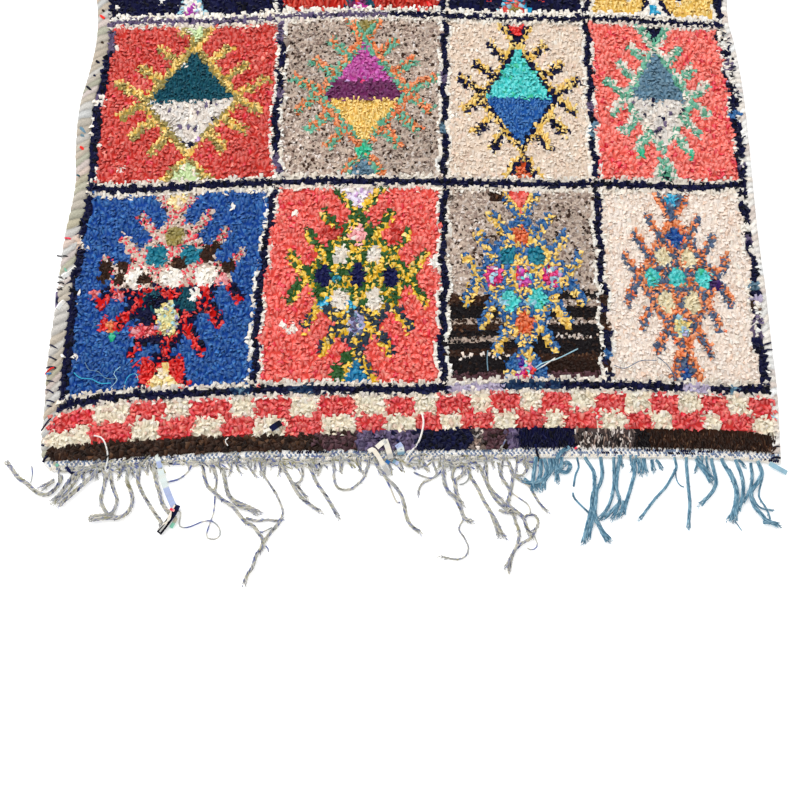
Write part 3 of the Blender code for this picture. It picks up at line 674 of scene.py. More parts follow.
# The fringe, yarn by yarn: its kind, its width, and x and y of each place that it passes on the floor
YARNS = (
    ("twine", 9, -682, -37, -685, -52, -696, -68, -710, -76, -724, -72, -738, -62, -749, -52,
     -759, -46, -770, -37, -781, -22, -792, -10),
    ("twine", 6, -696, -44, -707, -52, -721, -59),
    ("twine", 5, -695, -49, -706, -57, -717, -66),
    ("twine", 9, -624, -24, -646, -30, -660, -38, -669, -52, -679, -70, -694, -88),
    ("twine", 7, -629, -27, -648, -37, -656, -52, -669, -72, -684, -85, -691, -93),
    ("twine", 10, -610, -24, -623, -40, -645, -62, -661, -78, -681, -98),
    ("twine", 8, -603, -22, -597, -45, -599, -65, -602, -83, -596, -100, -585, -114, -572, -119),
    ("twine", 8, -588, -27, -583, -52, -577, -68, -570, -85, -572, -100, -578, -112, -590, -116),
    ("twine", 9, -551, -22, -554, -47, -546, -65, -540, -85, -542, -102, -551, -115, -565, -122,
     -584, -122, -601, -124, -620, -126),
    ("twine", 7, -553, -117, -570, -119, -590, -116, -604, -116, -619, -119),
    ("twine", 8, -534, -24, -532, -50, -520, -75, -507, -95, -493, -115, -482, -130, -482, -140),
    ("twine", 9, -504, -17, -498, -45, -489, -70, -483, -90, -471, -108, -460, -115),
    ("thread", 4, -430, -17, -438, -31, -454, -44, -476, -50),
    ("thread", 3, -458, -105, -446, -109, -446, -137, -431, -140, -408, -131, -408, -130, -387, -127,
     -375, -134, -368, -145, -368, -157, -377, -163, -392, -160, -393, -152, -387, -129, -382, -110,
     -381, -78),
    ("twine", 8, -408, -17, -403, -42, -395, -60, -382, -71, -367, -85, -347, -98, -331, -117,
     -319, -130, -304, -138, -294, -151, -286, -162, -284, -175, -296, -196, -303, -220, -311, -232,
     -316, -250),
    ("twine", 5, -386, -19, -380, -40, -380, -57, -381, -70, -369, -81, -357, -90),
    ("twine", 9, -368, -22, -362, -52, -355, -75, -345, -86, -332, -93, -315, -100, -294, -111),
    ("twine", 6, -345, -90, -332, -100, -315, -105, -298, -115),
    ("twine", 6, -319, -122, -297, -127, -278, -125, -258, -127, -250, -126),
    ("thread", 3, -314, -130, -291, -150, -282, -147, -268, -140),
    ("twine", 5, -297, -10, -293, -27, -281, -47, -265, -70, -255, -90, -248, -110, -250, -122),
    ("twine", 8, -250, -122, -258, -135, -272, -152, -283, -169, -288, -184),
    ("thread", 2.5, -279, -176, -274, -181, -273, -188),
    ("twine", 8, -256, -12, -247, -27, -235, -47, -224, -68, -212, -83, -197, -95, -175, -110),
    ("twine", 6, -232, -50, -222, -57, -212, -70, -202, -81),
    ("twine", 6, -215, -17, -212, -35, -217, -49, -227, -54),
    ("twine", 8, -200, -14, -187, -47, -172, -70, -160, -88, -150, -105, -141, -120),
    ("twine", 6, -152, -12, -150, -47, -142, -62, -122, -65, -108, -57, -93, -40, -86, -22, -81, -1),
    ("twine", 8, -74, -4, -64, -22, -52, -35, -52, -40, -35, -55, -21, -75, -15, -95, -10, -120,
     -1, -137, 16, -150),
    ("thread", 3.5, -49, -45, -41, -62, -34, -80, -28, -91, -22, -91),
    ("twine", 5, 46, -19, 48, -35, 36, -45, 22, -52, 14, -65, 14, -76),
    ("thread", 4, 4, -30, 22, -38, 41, -42, 56, -30, 63, -19),
    ("twine", 9, 62, -14, 63, -47, 70, -68, 84, -83, 94, -102, 101, -122, 117, -130),
    ("twine", 4, 100, -124, 93, -135, 91, -145, 100, -159, 108, -179, 102, -196, 85, -202, 56, -196),
    ("twine", 8, 108, -14, 97, -37, 85, -47, 85, -65, 89, -80, 99, -95),
    ("thread", 3.5, 110, -19, 112, -40, 104, -52, 93, -55),
    ("twine", 7, 88, -14, 79, -37, 85, -55, 90, -85),
    ("twine", 8, 111, -9, 114, -37, 128, -62, 138, -85, 152, -110, 163, -130, 171, -150, 179, -160),
    ("twine", 6, 152, -112, 160, -137, 166, -158),
    ("twine", 7, 132, -14, 144, -47, 153, -68, 167, -90, 183, -104, 195, -115, 200, -130, 206, -150,
     201, -174, 191, -196, 184, -225),
    ("twine", 6, 147, -14, 148, -50, 158, -68, 174, -85, 183, -100),
    ("twine", 8, 171, -12, 175, -40, 187, -60, 191, -72, 186, -93, 200, -108, 214, -120, 220, -140,
     227, -157),
    ("twine", 8, 190, -9, 197, -37, 193, -65, 186, -90),
    ("twine", 6, 193, -27, 209, -45, 226, -55, 236, -72, 249, -95, 263, -110),
    ("twine", 6, 198, -35, 214, -37, 227, -22, 224, -9),
    ("thread", 3, 194, -71, 210, -83, 225, -95, 229, -112, 220, -120),
    ("twine", 6, 214, -122, 224, -116, 236, -116, 243, -126, 240, -140, 230, -150),
    ("twine", 7, 237, -147, 227, -162, 210, -172, 197, -184, 187, -201, 178, -218),
    ("thread", 2.5, 235, -157, 240, -175, 230, -184, 220, -180),
    ("twine", 7, 168, -106, 183, -111, 193, -106, 204, -115),
    ("blue", 9, 244, -1, 240, -24, 236, -50, 236, -69),
    ("blue", 9, 253, -4, 252, -30, 246, -50, 246, -66),
    ("blue", 9, 260, -4, 264, -27, 259, -45, 255, -65),
    ("blue", 9, 270, -4, 271, -27, 261, -40, 243, -52, 229, -52, 217, -46),
    ("blue", 9, 283, -4, 283, -27, 284, -49),
    ("blue", 8, 276, -4, 278, -17, 268, -35, 253, -55),
    ("blue", 8, 294, -1, 291, -24, 281, -32),
    ("blue", 9, 310, 20, 292, 8, 285, -6, 290, -27, 303, -30, 311, -17, 304, -10, 297, -17),
    ("blue_thread", 4, 324, -1, 327, -19, 320, -35, 315, -59),
    ("blue_thread", 4, 313, -71, 314, -80, 326, -95, 342, -112, 362, -140),
    ("blue", 8, 339, -1, 350, -17, 356, -32, 355, -62, 351, -88, 345, -110, 336, -140, 327, -172),
    ("blue", 8, 352, -70, 348, -93, 349, -120, 343, -142, 337, -164),
    ("blue", 8, 370, -1, 372, -30, 368, -50, 359, -68, 356, -90, 353, -112, 358, -135, 378, -165),
    ("blue", 9, 344, -120, 358, -132, 366, -152, 375, -167),
    ("blue", 7, 396, -1, 395, -37, 392, -62, 385, -88, 374, -108, 360, -124),
    ("blue", 7, 408, -4, 401, -37, 398, -65, 402, -85, 398, -100, 385, -125),
    ("blue", 8, 404, -90, 389, -105, 376, -117, 368, -122),
    ("blue", 8, 435, -4, 436, -27, 426, -60, 416, -88, 407, -115),
    ("blue", 8, 409, -88, 406, -105, 395, -120),
    ("blue", 10, 444, -4, 447, -19, 447, -33),
    ("blue", 10, 454, -4, 455, -19, 456, -32),
    ("blue", 8, 470, -6, 471, -17, 473, -28),
    ("blue", 7, 478, -6, 485, -12, 489, -23),
    ("blue", 6, 514, -1, 518, -19, 507, -40, 494, -60, 472, -83, 439, -124),
    ("blue_thread", 2.5, 517, -17, 516, -42, 521, -55, 530, -60),
    ("blue", 7, 538, -1, 538, -30, 538, -62, 538, -93, 534, -120, 531, -141),
    ("blue", 13, 557, -4, 570, -24, 585, -49),
    ("blue", 8, 586, -4, 591, -35, 592, -52, 583, -70, 569, -85, 557, -96),
    ("blue", 9, 606, -4, 618, -27, 626, -47, 630, -68, 626, -93, 619, -112, 609, -127),
    ("blue", 9, 619, -24, 628, -50, 631, -75, 627, -98, 621, -127),
    ("blue", 8, 633, -6, 642, -32, 644, -60, 638, -88, 629, -108),
    ("blue", 6, 639, -6, 647, -12, 652, -19),
    ("blue", 7, 663, -12, 664, -37, 659, -60, 650, -78, 640, -91),
    ("blue", 9, 676, -9, 683, -32, 672, -52, 658, -72, 661, -98, 673, -115, 682, -127, 704, -137),
    ("blue", 4, 680, -17, 685, -37, 676, -65, 674, -80, 684, -100, 690, -120, 688, -130),
    ("blue", 4, 660, -78, 670, -98, 681, -104, 695, -106),
    ("blue", 8, 675, -131, 690, -131, 705, -136),
    ("blue_thread", 2.2, 622, -127, 633, -146),
)
BLUE_FROM = 242.0
YARN_STEP = 4.5
YARN_LIFT = 1.2
# Over the heading a yarn lies this high, and it comes down to the floor within this distance of the edge.
# Its middle lies this share of its width above what it rests on
HEADING_TOP = 4.6
DESCENT = 12.0
DESCENT_MORE = 2.0
YARN_REST = 0.42
# Between the long yarns short ends stand out of the heading, in these runs
SHORT_RUNS = ((-690, -480), (-400, -240), (-190, -20), (0, 240), (400, 462), (560, 600))
SHORT_PITCH = 15.0
SHORT_LENGTHS = (9.0, 16.0, 12.0, 21.0, 8.0, 14.0, 18.0)
SHORT_WIDTH = 5.0
SHORT_STRAY = 8.0
SHORT_LEANS = (-0.5, 0.8)
# From the heading's edge: how far in it starts, where it turns and how much further its tip lies
SHORT_ROOT = 6.0
SHORT_KNEE = 4.0
SHORT_DROP = 6.5
# The fringe ends this far in from the rug's corners
FRINGE_IN = 8.0

# How a yarn is spun: its plies, how far along each makes one turn, how wide a ply is and how far it lies
# from the middle as shares of the yarn's width, how far its tip comes apart, its dyes and their shares, how
# far apart the hairs on it stand and how long they are
Yarn = namedtuple("Yarn", "plies lay ply spread fray dyes shares hair_every hair_reach")
TWINE = Yarn(3, 24.0, 0.52, 0.25, 14.0, ("twine", "twine_grey", "twine_olive", "twine_blue", "navy"),
             (0.4, 0.26, 0.12, 0.17, 0.05), 9.0, 7.0)
BLUE = Yarn(5, 80.0, 0.4, 0.28, 13.0, ("steel_blue", "steel_dark", "steel_pale"),
            (0.48, 0.27, 0.25), 9.0, 6.0)
EDGE_CORD = Yarn(2, 9.0, 0.62, 0.26, 8.0, ("rag_cream", "rag_white"), (0.4, 0.6), 40.0, 4.0)
# At its tip a yarn spreads, sinks and thins by these shares
TIP_SPREAD = 1.1
TIP_SINK = 0.6
TIP_THIN = 0.45
# How far its plies rise and fall as a share of how far they swing out, and how high the lowest lie
PLY_RISE = 0.7
FLOOR_GAP = 0.1
# The hairs that stand off it: how many at its tip, how wide, how far each turns and bends, where its root
# lies in the yarn, how its length varies, how it sinks and how low it may lie
TIP_HAIRS = 3
HAIR_WIDTH = 0.9
HAIR_TURN = 0.7
HAIR_BEND = 0.5
HAIR_ROOT = 0.4
HAIR_LENGTHS = (0.5, 1.3)
HAIR_SINKS = (0.8, 0.4)
HAIR_LOWEST = 0.6
# Sections: a yarn's, a tuft's with the fold along its middle, and a strip's
ROUND = ((0.5, 0.0), (0.0, 0.5), (-0.5, 0.0), (0.0, -0.5))
THREE_SIDED = ((0.5, -0.3), (0.0, 0.7), (-0.5, -0.3))
FLAT = ((0.5, -0.4), (0.35, 0.5), (-0.35, 0.5), (-0.5, -0.4))
# How thick a strip of rag is, and how far apart the rings of strips and of threads are
STRIP_THICK = 2.6
STRIP_STEP = 4.0
THREAD_STEP = 7.0
SHORT_THREAD_STEP = 5.0

# Strips of rag and threads on top of the near edge: kind, width, and places on the floor with their heights
RAGS = (
    ("pale_rag", 9, ((-499, 8, 6), (-495, -8, 8), (-490, -22, 7))),
    ("pale_rag", 12, ((-493, -14, 6), (-486, -38, 5), (-476, -64, 4), (-465, -88, 4), (-457, -103, 6))),
    ("dark_rag", 11, ((-451, -97, 6), (-457, -113, 7), (-468, -130, 6), (-484, -152, 4))),
    ("white_rag", 3, ((-456, -98, 10), (-464, -116, 11), (-470, -134, 10), (-482, -150, 7))),
    ("white_rag", 2.5, ((-462, -112, 10), (-464, -126, 11), (-476, -136, 10), (-486, -146, 7))),
    ("green_rag", 7, ((-452, -122, 5), (-462, -141, 3))),
    ("pink_rag", 5, ((-464, -106, 13), (-456, -110, 13))),
    ("white_rag", 10, ((-68, 17, 13), (-58, 26, 14), (-50, 31, 15))),
    ("white_rag", 11, ((-52, 33, 15), (-46, 16, 12), (-40, -4, 8))),
    ("white_rag", 9, ((-84, 10, 9), (-76, 14, 11), (-66, 2, 9), (-54, -18, 6), (-43, -36, 4))),
    ("blue_rag", 14, ((-27, 25, 12), (-22, 17, 13), (-20, 4, 9))),
    ("corner_rag", 10, ((700, -13, 5), (713, -21, 5), (732, -32, 4))),
    ("bright_rag", 7, ((-50, -8, 8), (-43, -13, 7))),
    ("slate_rag", 8, ((-36, -8, 7), (-26, -14, 6))),
    ("dark_rag", 13, ((-277, 54, 15), (-266, 62, 16), (-257, 68, 15))),
    ("white_rag", 6, ((-291, 50, 13), (-277, 55, 15), (-260, 54, 15))),
    ("dark_rag", 6, ((-674, -20, 6), (-665, -30, 6), (-655, -35, 5), (-645, -32, 5))),
    ("dark_rag", 5, ((243, 26, 9), (246, 8, 8), (250, -8, 6))),
    ("green_rag", 6, ((-700, -12, 7), (-690, -18, 6))),
    ("pink_rag", 4, ((320, 16, 9), (330, 22, 10))),
    ("white_thread", 3.5, ((21, 88, 16), (24, 70, 15), (20, 46, 13), (12, 26, 11), (-6, 4, 8),
                           (-14, -12, 6))),
    ("white_thread", 3.0, ((-624, 42, 13), (-609, 38, 13), (-599, 22, 12), (-594, -2, 9),
                           (-598, -28, 5))),
    ("white_thread", 2.5, ((-360, 38, 12), (-366, 30, 12), (-360, 22, 11))),
    ("thread", 3.0, ((185, 34, 13), (180, 24, 13), (172, 14, 10))),
    ("thread", 2.5, ((-741, -52, 3), (-740, -34, 2), (-743, -17, 2))),
)
# How high the loose threads lie on the pile
THREAD_HEIGHT = 13.5
# The dyes of the threads and strips, and which threads lie among which yarns
STRAND_DYES = {
    "thread": ("twine", "twine_blue", "twine_grey"),
    "blue_thread": ("steel_dark", "steel_blue"),
    "white_thread": ("rag_white",),
    "pale_rag": ("pale_rag", "pale_rag", "rag_blue", "rag_blue"),
    "green_rag": ("wrap_green", "sea_green"),
    "pink_rag": ("rose", "pink"),
    "white_rag": ("rag_cream", "rag_cream", "wrap_grey"),
    "blue_rag": ("rag_blue", "pale_rag", "slate"),
    "corner_rag": ("corner", "steel_pale"),
    "slate_rag": ("slate", "rag_blue"),
    "bright_rag": ("royal",),
    "dark_rag": ("navy", "ink"),
}
THREADS_AMONG = {"twine": "thread", "blue": "blue_thread"}

# The cloth materials: how rough each is, how fine its noise is, how far that lightens and darkens it, and how
# deep its relief is
Cloth = namedtuple("Cloth", "name roughness noise_scale noise_depth relief")
PILE_CLOTH = Cloth("rag_pile", 0.92, 900.0, 0.16, 0.35)
GROUND_CLOTH = Cloth("ground_weave", 0.95, 300.0, 0.25, 0.8)
WRAP_CLOTH = Cloth("selvedge_wraps", 0.9, 420.0, 0.2, 0.6)
YARN_CLOTH = Cloth("twisted_yarn", 0.9, 1100.0, 0.14, 0.35)
CLOTH_SHINE = 0.15
CLOTH_SHEEN = 0.08
NOISE_DETAIL = 3.0
NOISE_RANGE = (0.3, 0.7)
RELIEF_HEIGHT = 0.0006
# A strand's cell in its map: the share of it that is left free on each side
CELL_MARGIN = 0.1
CELL_SHARE = 1.0 - 2.0 * CELL_MARGIN

# The stage: the floor, the light from all round, the lamp and the camera, in metres and degrees
FLOOR_SIZE = 30.0
FLOOR_DROP = 0.0005
FLOOR_WHITE = 0.92
FLOOR_ROUGHNESS = 0.9
FLOOR_GLOW = 0.25
SKY_STRENGTH = 0.97
LAMP_SIZE = 2.5
LAMP_POWER = 125.0
LAMP_PLACE = (-2.2, 1.6, 3.2)
CAMERA_LENS = 51.8
CAMERA_SENSOR = 36.0
CAMERA_PLACE = (0.0076, -1.7550, 2.1627)
CAMERA_TILT = 20.0


def either_way(chance, reach):
    """A random step of up to that much to either side."""
    return chance.uniform(-reach, reach)


def eased(share):
    """A share from 0 to 1 that starts and ends slowly."""
    return share * share * (3.0 - 2.0 * share)


def curve_through(places, values, at):
    """The value at a place on a smooth curve through the given ones."""
    at = min(max(at, places[0]), places[-1])
    after = 1
    while after < len(places) - 1 and places[after] < at:
        after += 1
    before = after - 1
    span = places[after] - places[before]
    rise = values[after] - values[before]

    def slope(index):
        low = max(index - 1, 0)
        high = min(index + 1, len(places) - 1)
        return (values[high] - values[low]) / (places[high] - places[low])

    share = (at - places[before]) / span
    enter = share * (1.0 - share) ** 2 * slope(before) * span
    leave = share**2 * (share - 1.0) * slope(after) * span
    return values[before] + eased(share) * rise + enter + leave


# The cloth's outline


EDGE_PLACES = [row[0] for row in EDGES]
EDGE_VALUES = {-1: [row[1] for row in EDGES], 1: [row[2] for row in EDGES]}


def edge_distance(v, side):
    """How far the cloth's outer edge lies from the middle warp, on the left (-1) or the right (1)."""
    return curve_through(EDGE_PLACES, EDGE_VALUES[-1 if side < 0 else 1], v)


def edges_at(v, inset=0.0):
    """The x of the cloth's left and right edge at v, or of the places that far inside them."""
    return -edge_distance(v, -1) + inset, edge_distance(v, 1) - inset


def bow(share, v):
    """How far the weft at v bows along the cloth, at a share of the way out to its edge."""
    after = 1
    while after < len(BOWS) - 1 and BOWS[after][0] < v:
        after += 1
    (low, low_bows), (high, high_bows) = BOWS[after - 1], BOWS[after]
    mix = (v - low) / (high - low)
    near = curve_through(BOW_PLACES, low_bows, share)
    far = curve_through(BOW_PLACES, high_bows, share)
    return near + mix * (far - near)


def on_floor(x, v):
    """Where the point of the cloth at x, v lies on the floor, in millimetres from the near edge's middle."""
    side = -1.0 if x < 0 else 1.0
    return x, v + bow(side * min(abs(x) / edge_distance(v, side), 1.0), v)


def in_scene(x, y, z):
    """That point in metres, about the middle of the rug's box."""
    return ((x - BOX_MIDDLE_X) * MM, (y - BOX_MIDDLE_Y) * MM, z * MM)


def selvedge_width(side):
    """How broad the wrapped edge is on that side."""
    return LEFT_SELVEDGE if side < 0 else RIGHT_SELVEDGE


def pile_edge(v, side):
    """The x at which the pile ends and its selvedge begins."""
    return side * (edge_distance(v, side) - selvedge_width(side))


def tuft_edge(v, side):
    """The x of the outermost tufts: over the selvedge beside the near bands, and short of it beyond them."""
    beyond = LEFT_TUFT_EDGE if side < 0 else RIGHT_TUFT_EDGE
    return pile_edge(v, side) + side * float(np.interp(v, TUFT_EDGE_PLACES, (*TUFT_EDGES, beyond)))


# The colours


def linear(colour):
    """A colour from 0 to 255 as the amounts of light that the materials use."""
    return tuple((value / 255.0) ** 2.2 for value in colour)


LIGHT = {name: np.array(linear(dye.colour)) for name, dye in DYES.items()}


def dyed(name, chance):
    """One rag's colour: mostly the dye's own, now and then one of its flecks, lighter or darker."""
    dye = DYES[name]
    if dye.flecks and chance.random() < dye.fleck_share:
        name = chance.choice(dye.flecks)
        dye = DYES[name]
    bright = 1.0 + either_way(chance, dye.spread)
    warm = either_way(chance, DYE_WARMTH)
    return LIGHT[name] * bright * np.array((1.0 + warm, 1.0, 1.0 - warm))


def deepened(colour, depth, shade):
    """A dye where it lies in shade: more vivid, and the more vivid it is the darker."""
    top = colour.max(axis=-1, keepdims=True)
    vivid = 1.0 - colour.min(axis=-1, keepdims=True) / top
    return colour * (colour / top) ** (depth * vivid) * (1.0 - shade * vivid)


# The chart


COLUMN_PLACES = [([point[0] for point in line], [point[1] for point in line]) for line in COLUMN_LINES]


def column_middle(index, v):
    """Where a line along the cloth would lie at v if it didn't waver."""
    places, values = COLUMN_PLACES[index]
    return curve_through(places, values, v)


def column_line(index, v):
    """Where a line along the cloth lies at v."""
    waver = sum(reach * math.sin(v / over + index * lag) for reach, over, lag in COLUMN_WAVERS)
    return column_middle(index, v) + waver


def line_dye(runs, index, at):
    """The dye of a line at a place along it: the one of its run there, or navy."""
    for line, low, high, dye in runs:
        if line == index and low <= at <= high:
            return dye
    return "navy"


def off_segment(p, q, ends):
    """How far a place lies to one side of a segment, or None past either end of it."""
    root_p, root_q, tip_p, tip_q = ends
    way_p, way_q = tip_p - root_p, tip_q - root_q
    length = math.hypot(way_p, way_q)
    reach = ((p - root_p) * way_p + (q - root_q) * way_q) / length
    if not -ARM_HALF < reach < length:
        return None
    return ((q - root_q) * way_p - (p - root_p) * way_q) / length


def branch_dye(branches, off, reach, chance):
    """A branch is worked in two dyes, the first along its one side and the second along the other."""
    first = off > BRANCH_MIX * reach * either_way(chance, 1.0)
    if chance.random() < BRANCH_STRAYS:
        first = not first
    return branches[0] if first else branches[1]


def fork_dye(motif, branches, cap, p, q, chance):
    """The dye in the fork past the diamond's point: its arms', the cap's between them, or None."""
    out = abs(q) - (SPLIT_FORK if motif.bands else SPOTTED_FORK)
    spread = motif.place.far_fork if q > 0 else motif.place.fork
    if out < 0.0:
        return None
    off = abs(p) - spread * out - FORK_START
    if abs(off) < ARM_HALF:
        return branch_dye(branches, off, ARM_HALF, chance)
    return cap if off < 0.0 else None


def split_dye(motif, branches, p, q, half_width, chance):
    """The dye of a split diamond, its outline and its arms at p, q from its middle, or None outside them."""
    reach = abs(p) / (SPLIT_SHARE * half_width) + abs(q) / (SPLIT_FAR if q > 0 else SPLIT_NEAR)
    if reach < 1.0:
        ends = THREE_BANDS if len(motif.bands) == 3 else (0,)
        return motif.bands[sum(1 for end in ends if q <= end)]
    if reach < SPLIT_OUTLINE:
        return branch_dye(branches, reach - (1.0 + SPLIT_OUTLINE) / 2, SPLIT_OUTLINE - 1.0, chance)
    breadth = half_width / ARM_PANEL
    for root_p, root_q, tip_p, tip_q in ARMS:
        off = off_segment(abs(p), q, (root_p * breadth, root_q, tip_p * breadth, tip_q))
        if off is not None and abs(off) < ARM_HALF:
            return branch_dye(branches, off, ARM_HALF, chance)
    return None


def spotted_dye(motif, branches, p, q, half_width, chance):
    """The dye of a lattice of nine lozenges, its lines and its arms at p, q from its middle, or None."""
    across = p / (LATTICE_SHARE * half_width)
    along = (q - LATTICE_MIDDLE) / (LATTICE_FAR if q > LATTICE_MIDDLE else LATTICE_NEAR)
    right, left = (along + across) / 2, (along - across) / 2
    if abs(right) < LATTICE_EDGE and abs(left) < LATTICE_EDGE:
        cell = (round(right), round(left))
        off_across, off_along = across - (cell[0] - cell[1]), along - (cell[0] + cell[1])
        breadth = SPOT_BREADTH * motif.place.spots
        if (off_across / breadth) ** 2 + (off_along / SPOT_LENGTH) ** 2 < 1.0:
            return motif.spots[LATTICE_ORDER[cell]]
        return chance.choice(branches)
    for run, line in ((right, left), (left, right)):
        if abs(run) > LATTICE_EDGE + LINE_REACH + ARM_REACH:
            continue
        # The lines run on upwards and outwards beyond the middle, and downwards and outwards before it
        towards = 1.0 if run > 0 else -1.0
        off = line * towards - (math.floor(line * towards) + 0.5)
        inside = -LATTICE_EDGE - LINE_REACH < line * towards < LATTICE_EDGE - 0.5
        if abs(run) > LATTICE_EDGE and inside and abs(off) < LINE_REACH:
            return branch_dye(branches, off * towards, LINE_REACH, chance)
    if max(abs(right), abs(left)) < LATTICE_EDGE + LINE_REACH:
        return branch_dye(branches, 1.0, LINE_REACH, chance)
    return None


def motif_dye(motif, p, q, half_width, chance):
    """The motif's dye at p, q from the middle of its panel, or None on its ground."""
    p -= motif.place.across
    q -= motif.place.along
    half_width *= motif.place.breadth
    branches = motif.branches if q > motif.place.near_from else motif.near_branches
    cap = motif.far_cap if q > 0 else motif.near_cap
    dye = fork_dye(motif, branches, cap, p, q, chance)
    if dye:
        return dye
    shape = split_dye if motif.bands else spotted_dye
    return shape(motif, branches, p, q, half_width, chance)


def band_dye(table, x):
    """The dye of a band at x, from a table of where each of its dyes ends."""
    return next((dye for end, dye in table if x < end), table[-1][1])


def wool_edge(x):
    """How far along the cloth the dark band beside the near heading reaches at this x."""
    return LOWER_CHECK_LINE + WOOL_SWELL * min(1.0, max(0.0, 1.0 + x / WOOL_SWELL_OVER))


def check_dye(ends, x, first):
    """The colour of a checked band at x, where the squares alternate from the first one."""
    passed = sum(1 for end in ends[1:] if x >= end)
    return "check_coral" if (passed + first) % 2 == 0 else "check_cream"


def patch_dye(x, v):
    """The dye of the small patch at a place, or None."""
    for middle_x, middle_v, across, along, dye in PATCHES:
        if ((x - middle_x) / across) ** 2 + ((v - middle_v) / along) ** 2 < 1.0:
            return dye
    return None


def panel_dye(column, x, v, chance):
    """The dye of the panel in that column at a place on the cloth."""
    row = sum(1 for line in ROW_LINES[1:-1] if v > line)
    middle_v = (ROW_LINES[row] + ROW_LINES[row + 1]) / 2
    left, right = column_middle(column, middle_v), column_middle(column + 1, middle_v)
    p = x - (left + right) / 2
    motif = PANELS[row][column]
    dye = patch_dye(x, v) or motif_dye(motif, p, v - middle_v, (right - left) / 2, chance)
    if dye:
        return dye
    if (row, column) == STRIPED_PANEL:
        stripes = LEFT_STRIPES if p < 0 else RIGHT_STRIPES
        return next(dye for end, dye in stripes if v > end)
    return motif.ground


def flank_dye(index, side, x, v, chance):
    """The dye beside a line along the cloth: white for a stretch, and then the panel's own."""
    share = COLUMN_WHITES[index][0 if side < 0 else 1]
    swing = 0.5 + WHITE_SWING * math.sin(v / WHITE_SWING_OVER + WHITE_LAG * index + side)
    column = index - 1 if side < 0 else index
    if swing + either_way(chance, WHITE_CHANCE) < share:
        return "white"
    if 0 <= column < len(PANELS[0]):
        return panel_dye(column, x, v, chance)
    return line_dye(COLUMN_RUNS, index, v)


def chart(x, v, chance):
    """The name of the dye at a place on the cloth."""
    if v < wool_edge(x):
        return band_dye(NEAR_BAND, x)
    if v > PANELS_TO:
        return "brown"
    if v < PANELS_FROM:
        if v < UPPER_CHECK_LINE:
            return check_dye(LOWER_CHECKS, x, 1)
        return check_dye(UPPER_CHECKS, x, 0)
    for index, line in enumerate(ROW_LINES):
        off = abs(v - line)
        if off < ROW_LINE_HALF + ROW_FLANK:
            return line_dye(ROW_RUNS, index, x) if off < ROW_LINE_HALF else "bone"
    places = [column_line(index, v) for index in range(len(COLUMN_LINES))]
    for index, place in enumerate(places):
        off = abs(x - place)
        if off < COLUMN_LINE_HALF:
            return line_dye(COLUMN_RUNS, index, v)
        if off < COLUMN_LINE_HALF + COLUMN_FLANK:
            return flank_dye(index, x - place, x, v, chance)
    if x < places[0] or x > places[-1]:
        return "white"
    return panel_dye(sum(1 for place in places[1:-1] if x > place), x, v, chance)


# Strands: tufts, stitches and yarns are all tubes with few sides, closed at both ends


def finish_piece(name, mesh, tints, domain, material, smooth):
    """The object of a mesh, with a tint at each point or corner and one material."""
    attribute = mesh.color_attributes.new("tint", "FLOAT_COLOR", domain)
    colours = np.column_stack((tints, np.ones(len(tints))))
    attribute.data.foreach_set("color", colours.astype(np.float32).ravel())
    mesh.materials.append(material)
    mesh.polygons.foreach_set("use_smooth", np.full(len(mesh.polygons), smooth))
    mesh.update()
    piece = bpy.data.objects.new(name, mesh)
    bpy.context.scene.collection.objects.link(piece)
    return piece


class Strands:
    """Gathers tubes of points, to make them one mesh with a tint at each point and a map with a cell each."""

    def __init__(self):
        self.points = []
        self.tints = []
        self.corners = []
        self.starts = []
        self.maps = []
        self.point_count = 0
        self.corner_count = 0
        self.strand_count = 0

    def add(self, centres, across, above, section, tints):
        """Adds tubes: centres, across and above are (tube, ring, 3), tints that or (tube, ring, side, 3).

        The centres are places on the floor in millimetres, with their heights.
        """
        tubes, rings, _ = centres.shape
        sides = len(section)
        shape = np.array(section)
        middles = (centres - np.array((BOX_MIDDLE_X, BOX_MIDDLE_Y, 0.0))) * MM
        points = (
            middles[:, :, None, :]
            + (across * MM)[:, :, None, :] * shape[None, None, :, 0:1]
            + (above * MM)[:, :, None, :] * shape[None, None, :, 1:2]
        )
        corners, starts, places = tube_pattern(rings, sides)
        offsets = np.arange(tubes)[:, None] * rings * sides + self.point_count
        self.points.append(points.reshape(-1, 3))
        if tints.ndim == 3:
            tints = np.repeat(tints[:, :, None, :], sides, axis=2)
        self.tints.append(tints.reshape(-1, 3))
        self.corners.append((corners[None, :] + offsets).ravel())
        first = np.arange(tubes)[:, None] * len(corners) + self.corner_count
        self.starts.append((starts[None, :] + first).ravel())
        self.maps.append(np.broadcast_to(places, (tubes, *places.shape)))
        self.point_count += tubes * rings * sides
        self.corner_count += tubes * len(corners)
        self.strand_count += tubes

    def make(self, name, material):
        """The mesh object of all the tubes gathered so far."""
        mesh = bpy.data.meshes.new(name)
        points = np.concatenate(self.points)
        corners = np.concatenate(self.corners)
        starts = np.concatenate(self.starts)
        mesh.vertices.add(len(points))
        mesh.vertices.foreach_set("co", points.astype(np.float32).ravel())
        mesh.loops.add(len(corners))
        mesh.loops.foreach_set("vertex_index", corners.astype(np.int32))
        mesh.polygons.add(len(starts))
        mesh.polygons.foreach_set("loop_start", starts.astype(np.int32))
        mesh.update(calc_edges=True)
        side = math.ceil(math.sqrt(self.strand_count))
        cells = []
        index = 0
        for places in self.maps:
            tube = np.arange(index, index + len(places))
            cell = np.stack((tube % side, tube // side), axis=1)[:, None, :]
            cells.append(((cell + CELL_MARGIN + CELL_SHARE * places) / side).reshape(-1, 2))
            index += len(places)
        layer = mesh.uv_layers.new(name="OFBake", do_init=False)
        layer.uv.foreach_set("vector", np.concatenate(cells).astype(np.float32).ravel())
        return finish_piece(name, mesh, np.concatenate(self.tints), "POINT", material, False)


